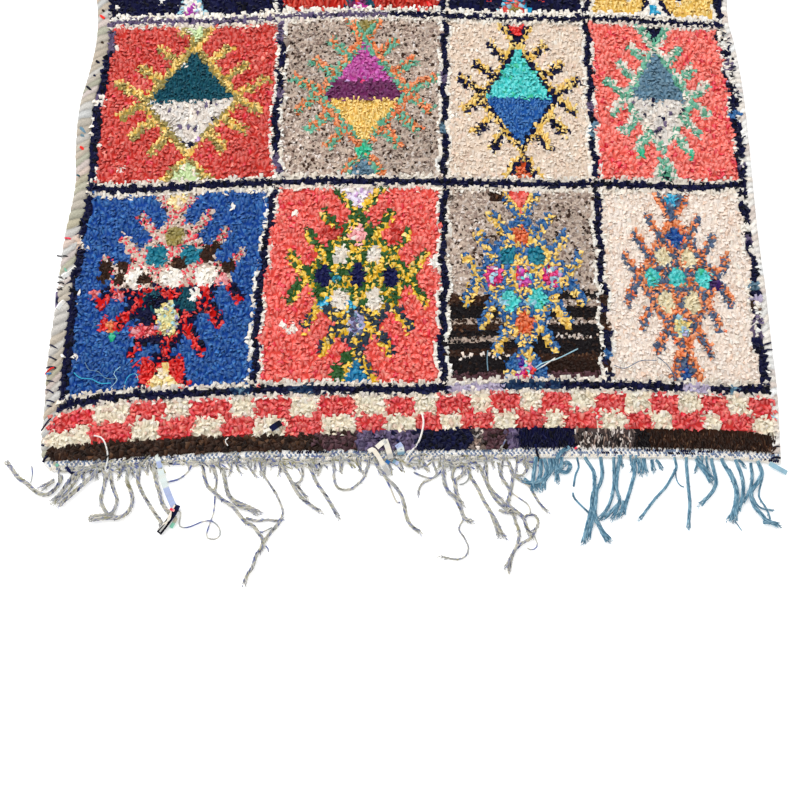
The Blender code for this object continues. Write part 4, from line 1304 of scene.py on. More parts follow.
def tube_faces(rings, around, turned=False):
    """The faces of a tube closed at both ends, whose points come ring by ring."""
    faces = []
    for base in range(0, (rings - 1) * around, around):
        for side in range(around):
            follow = (side + 1) % around
            faces.append((base + side, base + follow, base + around + follow, base + around + side))
    last = (rings - 1) * around
    faces.append(tuple(range(around - 1, -1, -1)))
    faces.append(tuple(range(last, last + around)))
    return [tuple(reversed(face)) for face in faces] if turned else faces


def tube_pattern(rings, sides):
    """The corners of a closed tube's faces, where each face starts, and each corner's place in its cell."""
    spread = [abs(1.0 - 2.0 * side / sides) for side in range(sides)]
    faces = tube_faces(rings, sides)
    around = [corner for face in faces[:-2] for corner in face]
    places = [(spread[corner % sides], corner // sides / (rings - 1)) for corner in around]
    turns = [2 * math.pi * side / sides for side in range(sides)]
    ends = [(0.5 + 0.5 * math.cos(turn), 0.1 + 0.1 * math.sin(turn)) for turn in turns]
    places += ends[::-1] + [(u, 1.0 - w) for u, w in ends]
    corners = [corner for face in faces for corner in face]
    starts = np.cumsum([0] + [len(face) for face in faces[:-1]])
    return np.array(corners), starts, np.array(places)


def across_and_above(centres, sideways):
    """For each ring of each tube, a unit vector across it and one above it, from a rough sideways one."""
    ways = np.gradient(centres, axis=1)
    ways /= np.linalg.norm(ways, axis=2, keepdims=True) + 1e-12
    across = sideways - ways * np.sum(sideways * ways, axis=2, keepdims=True)
    across /= np.linalg.norm(across, axis=2, keepdims=True) + 1e-12
    return across, np.cross(ways, across)


# The pile


def grow_tufts(strands, spots, grain, draw):
    """Adds a tuft of rag at each spot, given as its x and v on the cloth and its colour."""
    count = len(spots)
    if not count:
        return
    shares = TUFT_SHARES[None, :]
    middles = np.array([(*on_floor(x, v), TUFT_ROOT) for x, v, _ in spots])
    colours = np.array([colour for _, _, colour in spots])
    yaw = np.where(draw.random(count) < 0.5, 0.5, -0.5) * math.pi + draw.normal(0.0, grain.sway, count)
    reach = grain.reach * draw.uniform(*TUFT_REACHES, count)
    rise = grain.rise * draw.uniform(*TUFT_RISES, count)
    bend = draw.uniform(*TUFT_BENDS, count)
    out = reach[:, None] * (shares - TUFT_OVER)
    height = rise[:, None] * np.sin(shares * bend[:, None] * math.pi / 2)
    centres = middles[:, None, :] + np.stack(
        (out * np.cos(yaw)[:, None], out * np.sin(yaw)[:, None], height), axis=2
    )
    twist = draw.uniform(*TUFT_TURNS, count)[:, None] * shares
    roll = draw.uniform(*TUFT_TURNS, count)[:, None] + twist
    turn = yaw[:, None] + math.pi / 2 + twist
    sideways = np.stack((np.cos(turn), np.sin(turn), np.sin(roll)), axis=2)
    across, above = across_and_above(centres, sideways)
    width = grain.width * draw.uniform(*TUFT_WIDTHS, (count, 1)) * np.ones((1, len(TUFT_SHARES)))
    width[:, 0] *= ROOT_WIDTH
    width[:, -1] *= draw.uniform(*TIP_WIDTHS, count)
    fold = grain.fold * draw.uniform(*TUFT_FOLDS, (count, len(TUFT_SHARES)))
    centres[:, 1:, :] += draw.normal(0.0, TIP_STRAY, (count, len(TUFT_SHARES) - 1, 3))
    # Painted shade deepens the tint towards the root and the edges, and a painted highlight makes the fold
    # paler towards the tip
    deep = ROOT_SHADE * deepened(colours[:, None, :], *ROOT_DEEP)
    share = shares[:, :, None]
    tints = deep + share * (colours[:, None, :] - deep)
    pale = FOLD_HIGHLIGHT_GAIN * (tints + FOLD_HIGHLIGHT * share * (tints.max(axis=2, keepdims=True) - tints))
    edge = deepened(tints, *EDGE_SHADE)
    sides = np.stack((edge, pale, edge), axis=2)
    strands.add(centres, across * width[:, :, None], above * fold[:, :, None], THREE_SIDED, sides)


def on_a_line(x, v):
    """Whether the place belongs to the knots of a line, which are tied on their own."""
    if v < PANELS_FROM or v > PANELS_TO:
        return False
    if any(-ROW_LINE_HALF - NEAR_FLANK < v - line < ROW_LINE_HALF + ROW_FLANK for line in ROW_LINES):
        return True
    reach = COLUMN_LINE_HALF + COLUMN_FLANK
    return any(abs(x - column_line(index, v)) < reach for index in range(len(COLUMN_LINES)))


def row_line_spots(low, high, chance):
    """The knots of the lines between rows of panels, between two places along the cloth."""
    spots = []
    for index, line in enumerate(ROW_LINES):
        for off, dye in SHAGGY_LINE_KNOTS if index == SHAGGY_LINE else ROW_LINE_KNOTS:
            if not low <= line + off < high:
                continue
            left, right = tuft_edge(line, -1), tuft_edge(line, 1)
            count = round((right - left) / LINE_PITCH)
            for knot in range(count + 1):
                x = left + (right - left) * knot / count + either_way(chance, KNOT_STRAY)
                v = line + off + either_way(chance, ROW_KNOT_STRAY)
                spots.append((x, v, dyed(dye or line_dye(ROW_RUNS, index, x), chance)))
    return spots


def column_knot_dye(index, off, x, v, chance):
    """The dye of a knot that lies that far off a line along the cloth."""
    if abs(off) > COLUMN_LINE_HALF:
        return flank_dye(index, off, x + FLANK_LOOK * off, v, chance)
    thin = off > 0 and any(line == index and start < v < end for line, start, end in THIN_RUNS)
    return "white" if thin else line_dye(COLUMN_RUNS, index, v)


def column_line_spots(low, high, chance):
    """The knots of the lines along the cloth, between two places along it."""
    spots = []
    for index in range(len(COLUMN_LINES)):
        for knot in range(math.ceil(low / LINE_PITCH), math.ceil(high / LINE_PITCH)):
            v = knot * LINE_PITCH + either_way(chance, COLUMN_KNOT_STRAY)
            if v < ROW_LINES[0] or any(abs(v - line) < ROW_LINE_HALF + LINE_GAP for line in ROW_LINES):
                continue
            for off in COLUMN_LINE_KNOTS:
                x = column_line(index, v) + off + either_way(chance, KNOT_STRAY)
                if not pile_edge(v, -1) + LEFT_KNOT_EDGE < x < pile_edge(v, 1) + RIGHT_KNOT_EDGE:
                    continue
                if index == 0 and off < -COLUMN_LINE_HALF:
                    continue
                spots.append((x, v, dyed(column_knot_dye(index, off, x, v, chance), chance)))
    return spots


def grain_of(dye, x, v):
    """How the rags of a dye are cut at a place on the cloth."""
    if v < wool_edge(x) or v > PANELS_TO:
        return FLEECE if x < FLEECE_TO else HAIR
    if dye == "rust" and v < ROW_LINES[SHAGGY_LINE] + FINGER_TO:
        return FINGER
    return next((grain for grain, dyes in GRAINS.items() if dye in dyes), RAG)


def bundle_shade_and_patches(grain, x, v):
    """How light the wool is at a place: painted highlight on bundles of combed wool and painted shade between
    them, and chips paler in patches.
    """
    if grain in (HAIR, FLEECE):
        along, along_over, across, across_over = BUNDLE_WAVERS
        waver = math.pi * x / BUNDLE + along * math.sin(v / along_over) + across * math.sin(x / across_over)
        # Painted highlight on each bundle and painted shade between bundles
        return BUNDLE_LIGHT - BUNDLE_SHADE * (1.0 - abs(math.sin(waver)))
    if grain == CHIP:
        across, across_start = PATCHY_ACROSS
        along, along_start = PATCHY_ALONG
        return 1.0 + PATCHY * math.sin(x / across + across_start) * math.sin(v / along + along_start)
    return 1.0


def tuft_spots(low, high, coarse, chance):
    """The tufts between two places along the cloth, by grain: a wavering grid for each grain."""
    found = {grain: [] for grain in (RAG, *GRAINS, HAIR, FLEECE, FINGER)}
    for grain, spots in found.items():
        rows = max(1, round((high - low) / (grain.along * coarse)))
        step = (high - low) / rows
        for row in range(rows):
            v = low + step * (row + 0.5)
            left, right = tuft_edge(v, -1), tuft_edge(v, 1)
            count = round((right - left) / (grain.across * coarse))
            for index in range(count):
                x = left + (right - left) * (index + (0.25 if row % 2 else 0.75)) / count
                x += either_way(chance, TUFT_STRAY) * grain.across
                knot_v = v + either_way(chance, TUFT_STRAY) * grain.along
                if on_a_line(x, knot_v):
                    continue
                dye = chart(x, knot_v, chance)
                if grain_of(dye, x, v) == grain:
                    spots.append((x, knot_v, bundle_shade_and_patches(grain, x, v) * dyed(dye, chance)))
    return found


def cloth_material(cloth):
    """A material whose colour is the mesh's tint, worked over by fine noise, with a little relief."""
    material = bpy.data.materials.new(cloth.name)
    material.use_nodes = True
    nodes, links = material.node_tree.nodes, material.node_tree.links
    shader = nodes["Principled BSDF"]
    shader.inputs["Roughness"].default_value = cloth.roughness
    shader.inputs["Specular IOR Level"].default_value = CLOTH_SHINE
    shader.inputs["Sheen Weight"].default_value = CLOTH_SHEEN
    tint = nodes.new("ShaderNodeAttribute")
    tint.attribute_name = "tint"
    place = nodes.new("ShaderNodeTexCoord")
    noise = nodes.new("ShaderNodeTexNoise")
    noise.inputs["Scale"].default_value = cloth.noise_scale
    noise.inputs["Detail"].default_value = NOISE_DETAIL
    links.new(place.outputs["Object"], noise.inputs["Vector"])
    span = nodes.new("ShaderNodeMapRange")
    span.inputs["From Min"].default_value, span.inputs["From Max"].default_value = NOISE_RANGE
    span.inputs["To Min"].default_value = 1.0 - cloth.noise_depth
    span.inputs["To Max"].default_value = 1.0 + cloth.noise_depth
    links.new(noise.outputs["Fac"], span.inputs["Value"])
    shade = nodes.new("ShaderNodeVectorMath")
    shade.operation = "SCALE"
    links.new(tint.outputs["Color"], shade.inputs[0])
    links.new(span.outputs["Result"], shade.inputs["Scale"])
    links.new(shade.outputs["Vector"], shader.inputs["Base Color"])
    relief = nodes.new("ShaderNodeBump")
    relief.inputs["Strength"].default_value = cloth.relief
    relief.inputs["Distance"].default_value = RELIEF_HEIGHT
    links.new(noise.outputs["Fac"], relief.inputs["Height"])
    links.new(relief.outputs["Normal"], shader.inputs["Normal"])
    return material


def dress(piece, slot, *nodes):
    """Lets a piece ride with the rug, in place of the solids that it covers. Its slot is not used."""
    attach(piece, "root")
    if nodes:
        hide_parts(*nodes)
    return piece


def surface_object(name, points, faces, tints, material, smooth=True, by_face=False):
    """A mesh object with a tint at each point, or the same tint all over each face."""
    mesh = bpy.data.meshes.new(name)
    mesh.from_pydata([tuple(point) for point in points], [], faces)
    if by_face:
        tints = np.repeat(np.array(tints), [len(face) for face in faces], axis=0)
    return finish_piece(name, mesh, tints, "CORNER" if by_face else "POINT", material, smooth)


def lay_grid(rows, columns, place):
    """The points and faces of a grid, where place gives the point at a row and column."""
    points = [place(row, column) for row in range(rows + 1) for column in range(columns + 1)]
    faces = []
    for row in range(rows):
        for column in range(columns):
            corner = row * (columns + 1) + column
            faces.append((corner, corner + 1, corner + columns + 2, corner + columns + 1))
    return points, faces


def spread_between(low, high, step):
    """Places from low to high, both included, about a step apart."""
    count = max(1, round((high - low) / step))
    return [low + (high - low) * index / count for index in range(count + 1)]


def bed_places(lines, low, high):
    """Places along the bed, with a pair at each edge of each line so that its colour ends there."""
    places = [low]
    for line in lines:
        places += spread_between(places[-1], line + BED_EDGES[0], BED_STEP)[1:]
        places += [line + edge for edge in BED_EDGES[1:]]
    return places + spread_between(places[-1], high, BED_STEP)[1:]


def bed_columns(v):
    """The bed's places across at v: the same number for every v."""
    lines = [column_line(index, v) for index in range(len(COLUMN_LINES))]
    ends = [pile_edge(v, -1), *lines, pile_edge(v, 1)]
    places = []
    for index, (low, high) in enumerate(zip(ends, ends[1:])):
        count = BED_RUNS[index]
        start = low + (BED_EDGES[-1] if index else 0.0)
        stop = high - (BED_EDGES[-1] if index < len(lines) else 0.0)
        if index:
            places += [low + BED_EDGES[1], low + BED_EDGES[2]]
        places += [start + (stop - start) * step / count for step in range(count + 1)]
    return places


def make_bed(material, chance):
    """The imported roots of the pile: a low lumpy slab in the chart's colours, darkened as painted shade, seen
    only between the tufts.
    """
    rows = [(v, bed_columns(v)) for v in bed_places(ROW_LINES, NEAR_PILE, FAR_PILE)]
    last_row, last_column = len(rows) - 1, len(rows[0][1]) - 1

    def root(row, column):
        v, columns = rows[row]
        rim = row in (0, last_row) or column in (0, last_column)
        height = BED_RIM if rim else BED_HEIGHT + either_way(chance, BED_LUMP)
        return in_scene(*on_floor(columns[column], v), height)

    points, faces = lay_grid(last_row, last_column, root)
    tints = []
    for (v, near), (next_v, far) in zip(rows, rows[1:]):
        for column in range(last_column):
            x = (near[column] + near[column + 1] + far[column] + far[column + 1]) / 4
            dye = chart(x, (v + next_v) / 2, chance)
            # Painted shade: the bed takes the chart's dye darkened as if in the tufts' shade
            tints.append(ROOT_SHADE * deepened(LIGHT[dye], *ROOT_DEEP))
    return surface_object("pile_bed", points, faces, tints, material, by_face=True)


def pile_parts():
    """The pieces of the pile, from the near end to the far one: name, from, to, how coarse its tufts are."""
    starts = [line - PIECE_LEAD for line in ROW_LINES]
    parts = [("pile_near_bands", NEAR_PILE, starts[0], 1.0)]
    for row, (low, high) in enumerate(zip(starts, starts[1:]), 1):
        parts.append((f"pile_row_{row}", low, high, FAR_COARSE if row >= FAR_ROW else 1.0))
    return parts + [("pile_far_band", starts[-1], FAR_PILE, FAR_COARSE)]


def make_pile():
    """The bed and all the tufts, in one piece for each row of panels and for the bands at each end."""
    chance = random.Random(SEED)
    draw = np.random.default_rng(SEED)
    material = cloth_material(PILE_CLOTH)
    pieces = [dress(make_bed(material, chance), "pile", "field")]
    for name, low, high, coarse in pile_parts():
        strands = Strands()
        for grain, spots in tuft_spots(low, high, coarse, chance).items():
            grow_tufts(strands, spots, grain._replace(width=grain.width * coarse), draw)
        knots = row_line_spots(low, high, chance) + column_line_spots(low, high, chance)
        grow_tufts(strands, knots, LINE_RAG, draw)
        pieces.append(dress(strands.make(name, material), "pile", "field"))
    return pieces


# The ground cloth and the selvedges


def make_ground(material, chance):
    """The woven cloth that carries the pile. Its underside shows the knots' colours in the weave."""
    length = FAR_EDGE - NEAR_EDGE
    rows, columns = round(length / GROUND_STEP), GROUND_COLUMNS

    def spot(row, column):
        v = NEAR_EDGE + 0.5 + (length - 1.0) * row / rows
        left, right = edges_at(v, 1.0)
        return left + (right - left) * column / columns, v

    def top(row, column):
        return in_scene(*on_floor(*spot(row, column)), GROUND_THICK)

    tops, faces = lay_grid(rows, columns, top)
    bottoms = [(x, y, 0.0) for x, y, _ in tops]
    count = len(tops)
    faces += [tuple(corner + count for corner in reversed(face)) for face in faces]
    across = columns + 1
    rim = list(range(columns)) + [row * across + columns for row in range(rows)]
    rim += list(range(count - 1, count - 1 - columns, -1)) + [row * across for row in range(rows, 0, -1)]
    for corner, follow in zip(rim, rim[1:] + rim[:1]):
        faces.append((follow, corner, corner + count, follow + count))
    pale = LIGHT["cream"]
    tints = []
    for row in range(rows + 1):
        for column in range(columns + 1):
            x, v = spot(row, column)
            inside = NEAR_PILE < v < FAR_PILE and pile_edge(v, -1) < x < pile_edge(v, 1)
            knots = LIGHT[chart(x, v, chance)] if inside else pale
            tints.append(GROUND_PALE * pale + (1.0 - GROUND_PALE) * knots)
    return surface_object("ground_cloth", tops + bottoms, faces, tints + tints, material, smooth=False)


def make_selvedge(name, side, wraps, material, chance):
    """One wrapped edge of the cloth, a swell at each wrap and a crease between two."""
    width = selvedge_width(side)
    count = round((FAR_PILE - NEAR_PILE) / SELVEDGE_STEP)
    dyes = {}
    points, tints = [], []
    for index in range(count + 1):
        v = NEAR_PILE + (FAR_PILE - NEAR_PILE) * index / count
        depth = np.interp(v, (WRAP_NEAR, WRAP_FAR), (wraps.near_depth, wraps.far_depth))
        near_light = np.interp(v, (WRAP_NEAR, WRAP_FAR), (wraps.near_light, 1.0))
        ring_tints = []
        for share, height in WIDE_SELVEDGE_SECTION if side < 0 and v > WIDE_FROM else SELVEDGE_SECTION:
            waver = WRAP_WAVER * math.sin(v / WRAP_WAVER_OVER + WRAP_LAG * share)
            phase = (v + wraps.slant * share + waver) / wraps.pitch
            swell = abs(math.sin(math.pi * phase)) ** WRAP_FULL
            wrap = math.floor(phase)
            if wrap not in dyes:
                dyes[wrap] = dyed(chance.choice(wraps.dyes), chance)
            crease = 1.0 - swell
            reach = width * share * (1.0 - CREASE_IN * depth * crease) + either_way(chance, WRAP_OUT)
            raised = wraps.height * height * (1.0 - depth * crease) + either_way(chance, WRAP_UP)
            points.append(in_scene(*on_floor(pile_edge(v, side) + side * reach, v), max(raised, 0.0)))
            # Painted shade in the crease and low down, times a small random change of tone
            low_light = LOW_LIGHT + (1.0 - LOW_LIGHT) * min(height * LOW_TO, 1.0)
            painted_shade_and_tone = (CREASE_LIGHT + (1.0 - CREASE_LIGHT) * swell) * low_light * chance.uniform(*WORN)
            ring_tints.append(dyes[wrap] * painted_shade_and_tone * near_light)
        points.append(in_scene(*on_floor(pile_edge(v, side) - side * SELVEDGE_FOOT * width, v), 0.0))
        # The foot under the pile gets painted shade
        tints += ring_tints + [ring_tints[0] * FOOT_LIGHT]
    faces = tube_faces(count + 1, len(SELVEDGE_SECTION) + 1, side < 0)
    return surface_object(name, points, faces, tints, material)


def make_edge_threads(material, chance):
    """The coloured threads and bits of rag that cross the selvedges."""
    strands = Strands()
    for side, table, wraps in ((-1, LEFT_THREADS, LEFT_WRAPS), (1, RIGHT_THREADS, RIGHT_WRAPS)):
        for v, low, high, slant, dye, width in table:
            points = []
            for step in range(5):
                share = low + (high - low) * step / 4
                hump = max(0.0, 1.0 - abs(2.0 * share - 1.0) ** THREAD_ROUND)
                out = side * share * selvedge_width(side)
                x, y = on_floor(pile_edge(v, side) + out, v + slant * (step / 4 - 0.5))
                y += either_way(chance, 1.0)
                points.append((x, y, THREAD_FOOT + (wraps.height - THREAD_SINK) * hump))
            lay_strip(strands, points, width, ROUND, (dye,), chance, SHORT_THREAD_STEP)
    return strands.make("edge_threads", material)


# The headings


def make_heading(name, inner, outer, material):
    """The woven base of one heading, from the inner v to the outer one."""
    reach = max(edge_distance(inner, -1), edge_distance(inner, 1))
    count = round(2.0 * reach / HEADING_STEP)
    points, tints = [], []
    for index in range(count + 1):
        for share, height in (*HEADING_SECTION, (0.0, 0.0)):
            v = inner + share * (outer - inner)
            left, right = edges_at(v)
            points.append(in_scene(*on_floor(left + (right - left) * index / count, v), height))
            tints.append(LIGHT["rag_white"])
    faces = tube_faces(count + 1, len(HEADING_SECTION) + 1, outer > inner)
    return surface_object(name, points, faces, tints, material)


def sew_row(strands, row, number, inner, outer, pitch, chance):
    """Adds one row of slanted stitches over a heading."""
    way = 1.0 if outer > inner else -1.0
    middle = inner + way * (row.out + row.length / 2)
    left, right = edges_at(middle, STITCH_IN)
    count = round((right - left) / pitch)
    centres, tints = [], []
    for index in range(count):
        x = left + (right - left) * (index + 0.5) / count + either_way(chance, STITCH_STRAY)
        dark = way < 0 and any(number == line and low < x < high for line, low, high in DARK_STITCHES)
        if dark and chance.random() < DARK_SHARE:
            name = "navy"
        else:
            name = row.dyes[(index + (chance.random() < SKIP_SHARE)) % len(row.dyes)]
        stitch = []
        for share, lift in ((-0.5, 0.0), (0.0, 1.0), (0.5, 0.0)):
            spot = on_floor(x + share * row.slant, middle + way * share * row.length)
            stitch.append((*spot, STITCH_HEIGHT + STITCH_LIFT * lift * chance.uniform(*STITCH_LIFTS)))
        centres.append(stitch)
        tints.append([dyed(name, chance)] * 3)
    centres = np.array(centres)
    across, above = across_and_above(centres, np.array((1.0, 0.0, 0.0)))
    strands.add(centres, across * row.width, above * STITCH_THICK, ROUND, np.array(tints))


def make_near_stitches(material, chance):
    """The near heading's stitches, the plied yarn along its right part and the ends that spill over it."""
    strands = Strands()
    for number, row in enumerate(NEAR_STITCHES):
        sew_row(strands, row, number, NEAR_PILE, NEAR_EDGE, STITCH_PITCH, chance)
    cord = [
        (x, on_floor(x, NEAR_EDGE)[1] + (NEAR_PILE - NEAR_EDGE) - EDGE_CORD_OUT, EDGE_CORD_HEIGHT)
        for x in np.arange(EDGE_CORD_FROM, edge_distance(NEAR_EDGE, 1), EDGE_CORD_PITCH)
    ]
    spin(strands, smooth_path(cord, EDGE_CORD_STEP), EDGE_CORD_WIDTH, EDGE_CORD, chance)
    for spill in SPILLS:
        spill_yarns(strands, *spill, chance)
    return strands.make("heading_near_stitches", material)


def make_far_stitches(material, chance):
    """The far heading's rows of stitches."""
    strands = Strands()
    for number, row in enumerate(FAR_STITCHES):
        sew_row(strands, row, number, FAR_PILE, FAR_EDGE, FAR_STITCH_PITCH, chance)
    return strands.make("heading_far_stitches", material)


# Yarns, threads and strips


def distances(path):
    """How far along a path each of its places lies."""
    legs = np.linalg.norm(np.diff(path, axis=0), axis=1)
    return np.concatenate(([0.0], np.cumsum(legs)))


def smooth_path(points, step):
    """Places every step or so along a smooth curve through the given ones."""
    points = np.array(points, dtype=float)
    travelled = list(distances(points))
    count = max(2, round(travelled[-1] / step))
    columns = [list(column) for column in points.T]
    stops = [travelled[-1] * index / count for index in range(count + 1)]
    return np.array([[curve_through(travelled, column, stop) for column in columns] for stop in stops])


def directions(path):
    """The unit vector along a path at each of its places."""
    ways = np.gradient(path, axis=0)
    return ways / (np.linalg.norm(ways, axis=1, keepdims=True) + 1e-12)


def sideways_of(ways):
    """The level direction to the right of each of these ways."""
    return np.column_stack((ways[:, 1], -ways[:, 0], np.zeros(len(ways))))


def bent_way(x, y, way, bend, reach):
    """Two more places beyond x, y on the floor, on a way that bends."""
    places = []
    for step in range(2):
        x += reach / 2 * math.cos(way + bend * step)
        y += reach / 2 * math.sin(way + bend * step)
        places.append((x, y))
    return places


def resting(path, width, lift=0.0):
    """The same path at the height at which it lies: on the heading, and down on the floor beyond it."""
    rows = []
    for x, y in path:
        edge = on_floor(x, NEAR_EDGE)[1]
        share = min(max((y - edge + DESCENT) / (DESCENT + DESCENT_MORE), 0.0), 1.0)
        rows.append((x, y, YARN_REST * width + lift + eased(share) * HEADING_TOP))
    return np.array(rows)


def run_tints(rings, dyes, shares, chance):
    """Colours along one ply, which change every ring or two."""
    tints = []
    while len(tints) < rings:
        tint = dyed(chance.choices(dyes, shares)[0], chance)
        tints += [tint] * chance.choice((1, 1, 2))
    return tints[:rings]


def spin(strands, path, width, yarn, chance):
    """Twists a yarn's plies round a path on the floor. Its tip comes apart, and hairs stand off it."""
    rings = len(path)
    travelled = distances(path)
    ways = directions(path)
    side = sideways_of(ways)
    loose = np.clip((travelled - travelled[-1] + yarn.fray) / yarn.fray, 0.0, 1.0)
    start = chance.uniform(0.0, 2.0 * math.pi)
    centres, tints = [], []
    for ply in range(yarn.plies):
        turn = start + 2.0 * math.pi * (travelled / yarn.lay + ply / yarn.plies)
        spread = yarn.spread * width * (1.0 + TIP_SPREAD * loose)
        line = path + side * (spread * np.cos(turn))[:, None]
        line[:, 2] += PLY_RISE * yarn.spread * width * np.sin(turn) * (1.0 - TIP_SINK * loose)
        centres.append(line)
        sides = [run_tints(rings, yarn.dyes, yarn.shares, chance) for _ in ROUND]
        tints.append(np.stack(sides, axis=1))
    centres = np.array(centres)
    across, above = across_and_above(centres, np.broadcast_to(side, centres.shape))
    girth = (yarn.ply * width * (1.0 - TIP_THIN * loose))[None, :, None]
    centres[:, :, 2] = np.maximum(centres[:, :, 2], 0.5 * girth[:, :, 0] + FLOOR_GAP)
    strands.add(centres, across * girth, above * girth, ROUND, np.array(tints))
    add_hairs(strands, path, ways, width, yarn, chance)


def add_hairs(strands, path, ways, width, yarn, chance):
    """Fine fibres that stand off a yarn, mostly at its tip."""
    count = round(YARN_STEP * (len(path) - 1) / yarn.hair_every)
    spots = [chance.randrange(3, len(path)) for _ in range(count) if len(path) > 3]
    spots += [len(path) - 1] * TIP_HAIRS
    centres, tints = [], []
    for spot in spots:
        way = math.atan2(ways[spot][1], ways[spot][0]) + either_way(chance, HAIR_TURN)
        reach = yarn.hair_reach * chance.uniform(*HAIR_LENGTHS)
        bend = either_way(chance, HAIR_BEND)
        x, y, z = path[spot]
        x += either_way(chance, HAIR_ROOT) * width * math.sin(way)
        y -= either_way(chance, HAIR_ROOT) * width * math.cos(way)
        further = bent_way(x, y, way, bend, reach)
        heights = [max(z * sink, HAIR_LOWEST) for sink in HAIR_SINKS]
        centres.append([(x, y, z)] + [(*place, height) for place, height in zip(further, heights)])
        tints.append([dyed(chance.choices(yarn.dyes, yarn.shares)[0], chance)] * 3)
    centres = np.array(centres)
    across, above = across_and_above(centres, np.array((0.0, 0.0, 1.0)))
    strands.add(centres, across * HAIR_WIDTH, above * HAIR_WIDTH, THREE_SIDED, np.array(tints))


def spill_yarns(strands, low, high, count, near, far, chance):
    """Adds loose ends of yarn that lie over the near heading, mostly along it."""
    for _ in range(count):
        x = chance.uniform(low, high)
        y = on_floor(x, NEAR_PILE)[1] - chance.uniform(near, far)
        way = chance.gauss(0.0, SPILL_TURN)
        reach = chance.uniform(*SPILL_LENGTHS)
        bend = either_way(chance, SPILL_BEND)
        z = chance.uniform(*SPILL_HEIGHTS)
        points = [(x, y, z)]
        points += [(*place, z + either_way(chance, 1.0)) for place in bent_way(x, y, way, bend, reach)]
        width = chance.uniform(*SPILL_WIDTHS)
        lay_strip(strands, points, width, ROUND, TWINE.dyes, chance, SHORT_THREAD_STEP, TWINE.shares)


def lay_strip(strands, points, width, section, dyes, chance, step=THREAD_STEP, shares=None):
    """Adds one thread or strip of rag through the given places. A strip's dyes follow one another."""
    path = smooth_path(points, step if section is ROUND else STRIP_STEP)
    thick = width if section is ROUND else STRIP_THICK
    path[:, 2] = np.maximum(path[:, 2], thick * 0.5)
    centres = path[None, :, :]
    across, above = across_and_above(centres, sideways_of(directions(path))[None, :, :])
    if section is ROUND:
        tints = np.array([run_tints(len(path), dyes, shares or [1.0] * len(dyes), chance)])
    else:
        turns = [dyes[index * len(dyes) // len(path)] for index in range(len(path))]
        tints = np.array([[dyed(dye, chance) for dye in turns]])
    strands.add(centres, across * width, above * thick, section, tints)


def short_ends(low, high, chance):
    """The short ends between the long yarns, as places on the floor."""
    ends = []
    count = round((high - low) / SHORT_PITCH)
    for index in range(count):
        x = low + (high - low) * (index + 0.5) / count + either_way(chance, SHORT_STRAY)
        if not any(start < x < end for start, end in SHORT_RUNS):
            continue
        y = on_floor(x, NEAR_EDGE)[1]
        length = SHORT_LENGTHS[index % len(SHORT_LENGTHS)]
        lean = chance.uniform(*SHORT_LEANS)
        tip = (x + lean * length, y - SHORT_DROP - length)
        ends.append(((x, y + SHORT_ROOT), (x, y - SHORT_KNEE), tip))
    return ends


def make_fringe(name, kind, yarn, low, high, material, chance):
    """All the yarns of one kind, and the short ends between two places along the heading."""
    strands = Strands()
    thread = THREADS_AMONG[kind]
    for index, (yarn_kind, width, *places) in enumerate(YARNS):
        points = list(zip(places[::2], places[1::2]))
        if yarn_kind == kind:
            path = resting(smooth_path(points, YARN_STEP), width, YARN_LIFT * (index % 3))
            spin(strands, path, width, yarn, chance)
        elif yarn_kind == thread:
            path = resting(smooth_path(points, YARN_STEP), width, YARN_LIFT)
            lay_strip(strands, path, width, ROUND, STRAND_DYES[thread], chance)
    for points in short_ends(low, high, chance):
        path = resting(smooth_path(points, YARN_STEP), SHORT_WIDTH)
        spin(strands, path, SHORT_WIDTH, yarn, chance)
    return strands.make(name, material)


def make_rags(material, chance):
    """The strips of rag and the threads on top of the near edge, and the loose threads on the pile."""
    strands = Strands()
    for dye, width, places in PILE_THREADS:
        points = [(*on_floor(x, v), THREAD_HEIGHT) for x, v in places]
        lay_strip(strands, points, width, ROUND, (dye,), chance)
    for kind, width, points in RAGS:
        section = FLAT if kind.endswith("rag") else ROUND
        lay_strip(strands, points, width, section, STRAND_DYES[kind], chance)
    return strands.make("edge_rags", material)


def make_edges():
    """Everything round the pile: the ground cloth, the selvedges, the headings and the fringe."""
    chance = random.Random(SEED + 1)
    ground = dress(make_ground(cloth_material(GROUND_CLOTH), chance), "selvedge", "field")
    wrap, yarn = cloth_material(WRAP_CLOTH), cloth_material(YARN_CLOTH)
    left_end, right_end = edges_at(NEAR_EDGE, FRINGE_IN)
    return ground, [
        dress(make_selvedge("wraps_left", -1, LEFT_WRAPS, wrap, chance), "selvedge", "selvedge_left"),
        dress(make_selvedge("wraps_right", 1, RIGHT_WRAPS, wrap, chance), "selvedge", "selvedge_right"),
        dress(make_edge_threads(yarn, chance), "selvedge"),
        dress(make_heading("heading_near_base", NEAR_PILE, NEAR_EDGE, wrap), "heading", "heading_near"),
        dress(make_heading("heading_far_base", FAR_PILE, FAR_EDGE, wrap), "heading", "heading_far"),
        dress(make_near_stitches(yarn, chance), "heading", "heading_near"),
        dress(make_far_stitches(yarn, chance), "heading", "heading_far"),
        dress(make_fringe("twine_yarns", "twine", TWINE, left_end, BLUE_FROM, yarn, chance),
              "fringe_twine", "fringe_twine"),
        dress(make_fringe("blue_yarns", "blue", BLUE, BLUE_FROM, right_end, yarn, chance),
              "fringe_blue", "fringe_blue"),
        dress(make_rags(yarn, chance), "fringe_twine"),
    ]


# The stage


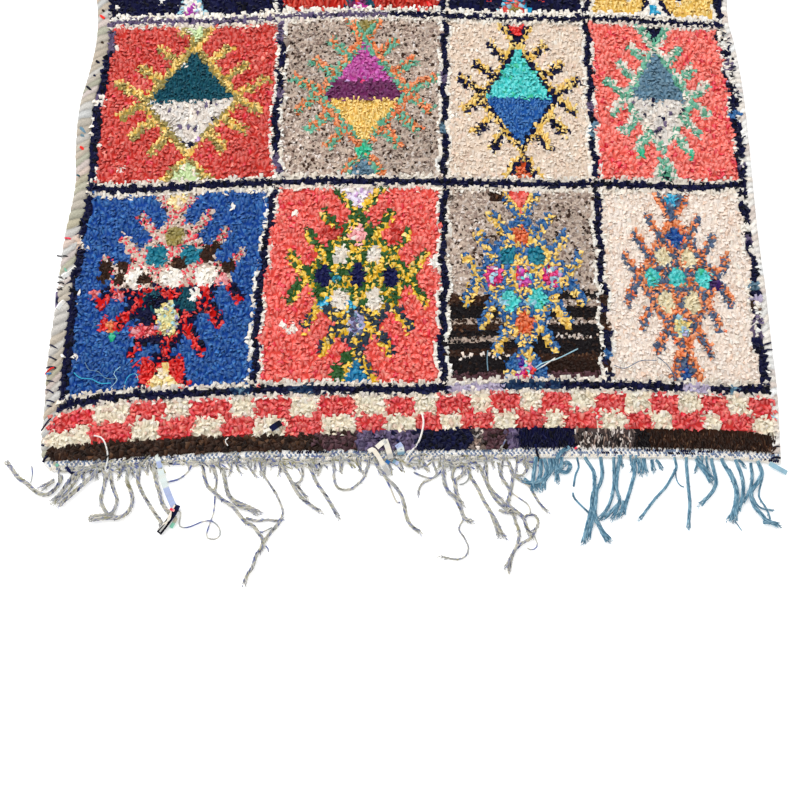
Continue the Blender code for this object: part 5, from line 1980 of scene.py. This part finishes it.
def make_stage():
    """A plain pale floor, soft light and the camera."""
    bpy.ops.mesh.primitive_plane_add(size=FLOOR_SIZE, location=(0.0, 0.0, -FLOOR_DROP))
    floor = bpy.context.object
    floor.name = "floor"
    material = bpy.data.materials.new("floor_white")
    material.use_nodes = True
    shader = material.node_tree.nodes["Principled BSDF"]
    shader.inputs["Base Color"].default_value = (FLOOR_WHITE, FLOOR_WHITE, FLOOR_WHITE, 1.0)
    shader.inputs["Roughness"].default_value = FLOOR_ROUGHNESS
    shader.inputs["Emission Color"].default_value = (1.0, 1.0, 1.0, 1.0)
    shader.inputs["Emission Strength"].default_value = FLOOR_GLOW
    floor.data.materials.append(material)

    scene = bpy.context.scene
    world = bpy.data.worlds.new("studio")
    scene.world = world
    world.use_nodes = True
    sky = world.node_tree.nodes["Background"]
    sky.inputs["Color"].default_value = (1.0, 1.0, 1.0, 1.0)
    sky.inputs["Strength"].default_value = SKY_STRENGTH

    lamp = bpy.data.lights.new("softbox", "AREA")
    lamp.shape = "RECTANGLE"
    lamp.size = LAMP_SIZE
    lamp.size_y = LAMP_SIZE
    lamp.energy = LAMP_POWER
    light = bpy.data.objects.new("softbox", lamp)
    light.location = LAMP_PLACE
    light.rotation_euler = (-Vector(LAMP_PLACE)).to_track_quat("-Z", "Y").to_euler()
    scene.collection.objects.link(light)

    camera = bpy.data.cameras.new("camera")
    camera.lens = CAMERA_LENS
    camera.sensor_width = CAMERA_SENSOR
    holder = bpy.data.objects.new("camera", camera)
    holder.location = CAMERA_PLACE
    holder.rotation_euler = (math.radians(CAMERA_TILT), 0.0, 0.0)
    scene.collection.objects.link(holder)
    scene.camera = holder
    scene.view_settings.view_transform = "Standard"


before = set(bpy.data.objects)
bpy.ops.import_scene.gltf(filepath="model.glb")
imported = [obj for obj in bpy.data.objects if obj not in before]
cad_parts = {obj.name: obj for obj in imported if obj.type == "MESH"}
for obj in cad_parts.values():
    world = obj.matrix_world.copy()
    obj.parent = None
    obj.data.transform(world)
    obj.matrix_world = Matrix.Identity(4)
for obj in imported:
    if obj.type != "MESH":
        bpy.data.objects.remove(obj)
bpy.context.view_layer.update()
make_stage()
pile = make_pile()
ground, edges = make_edges()
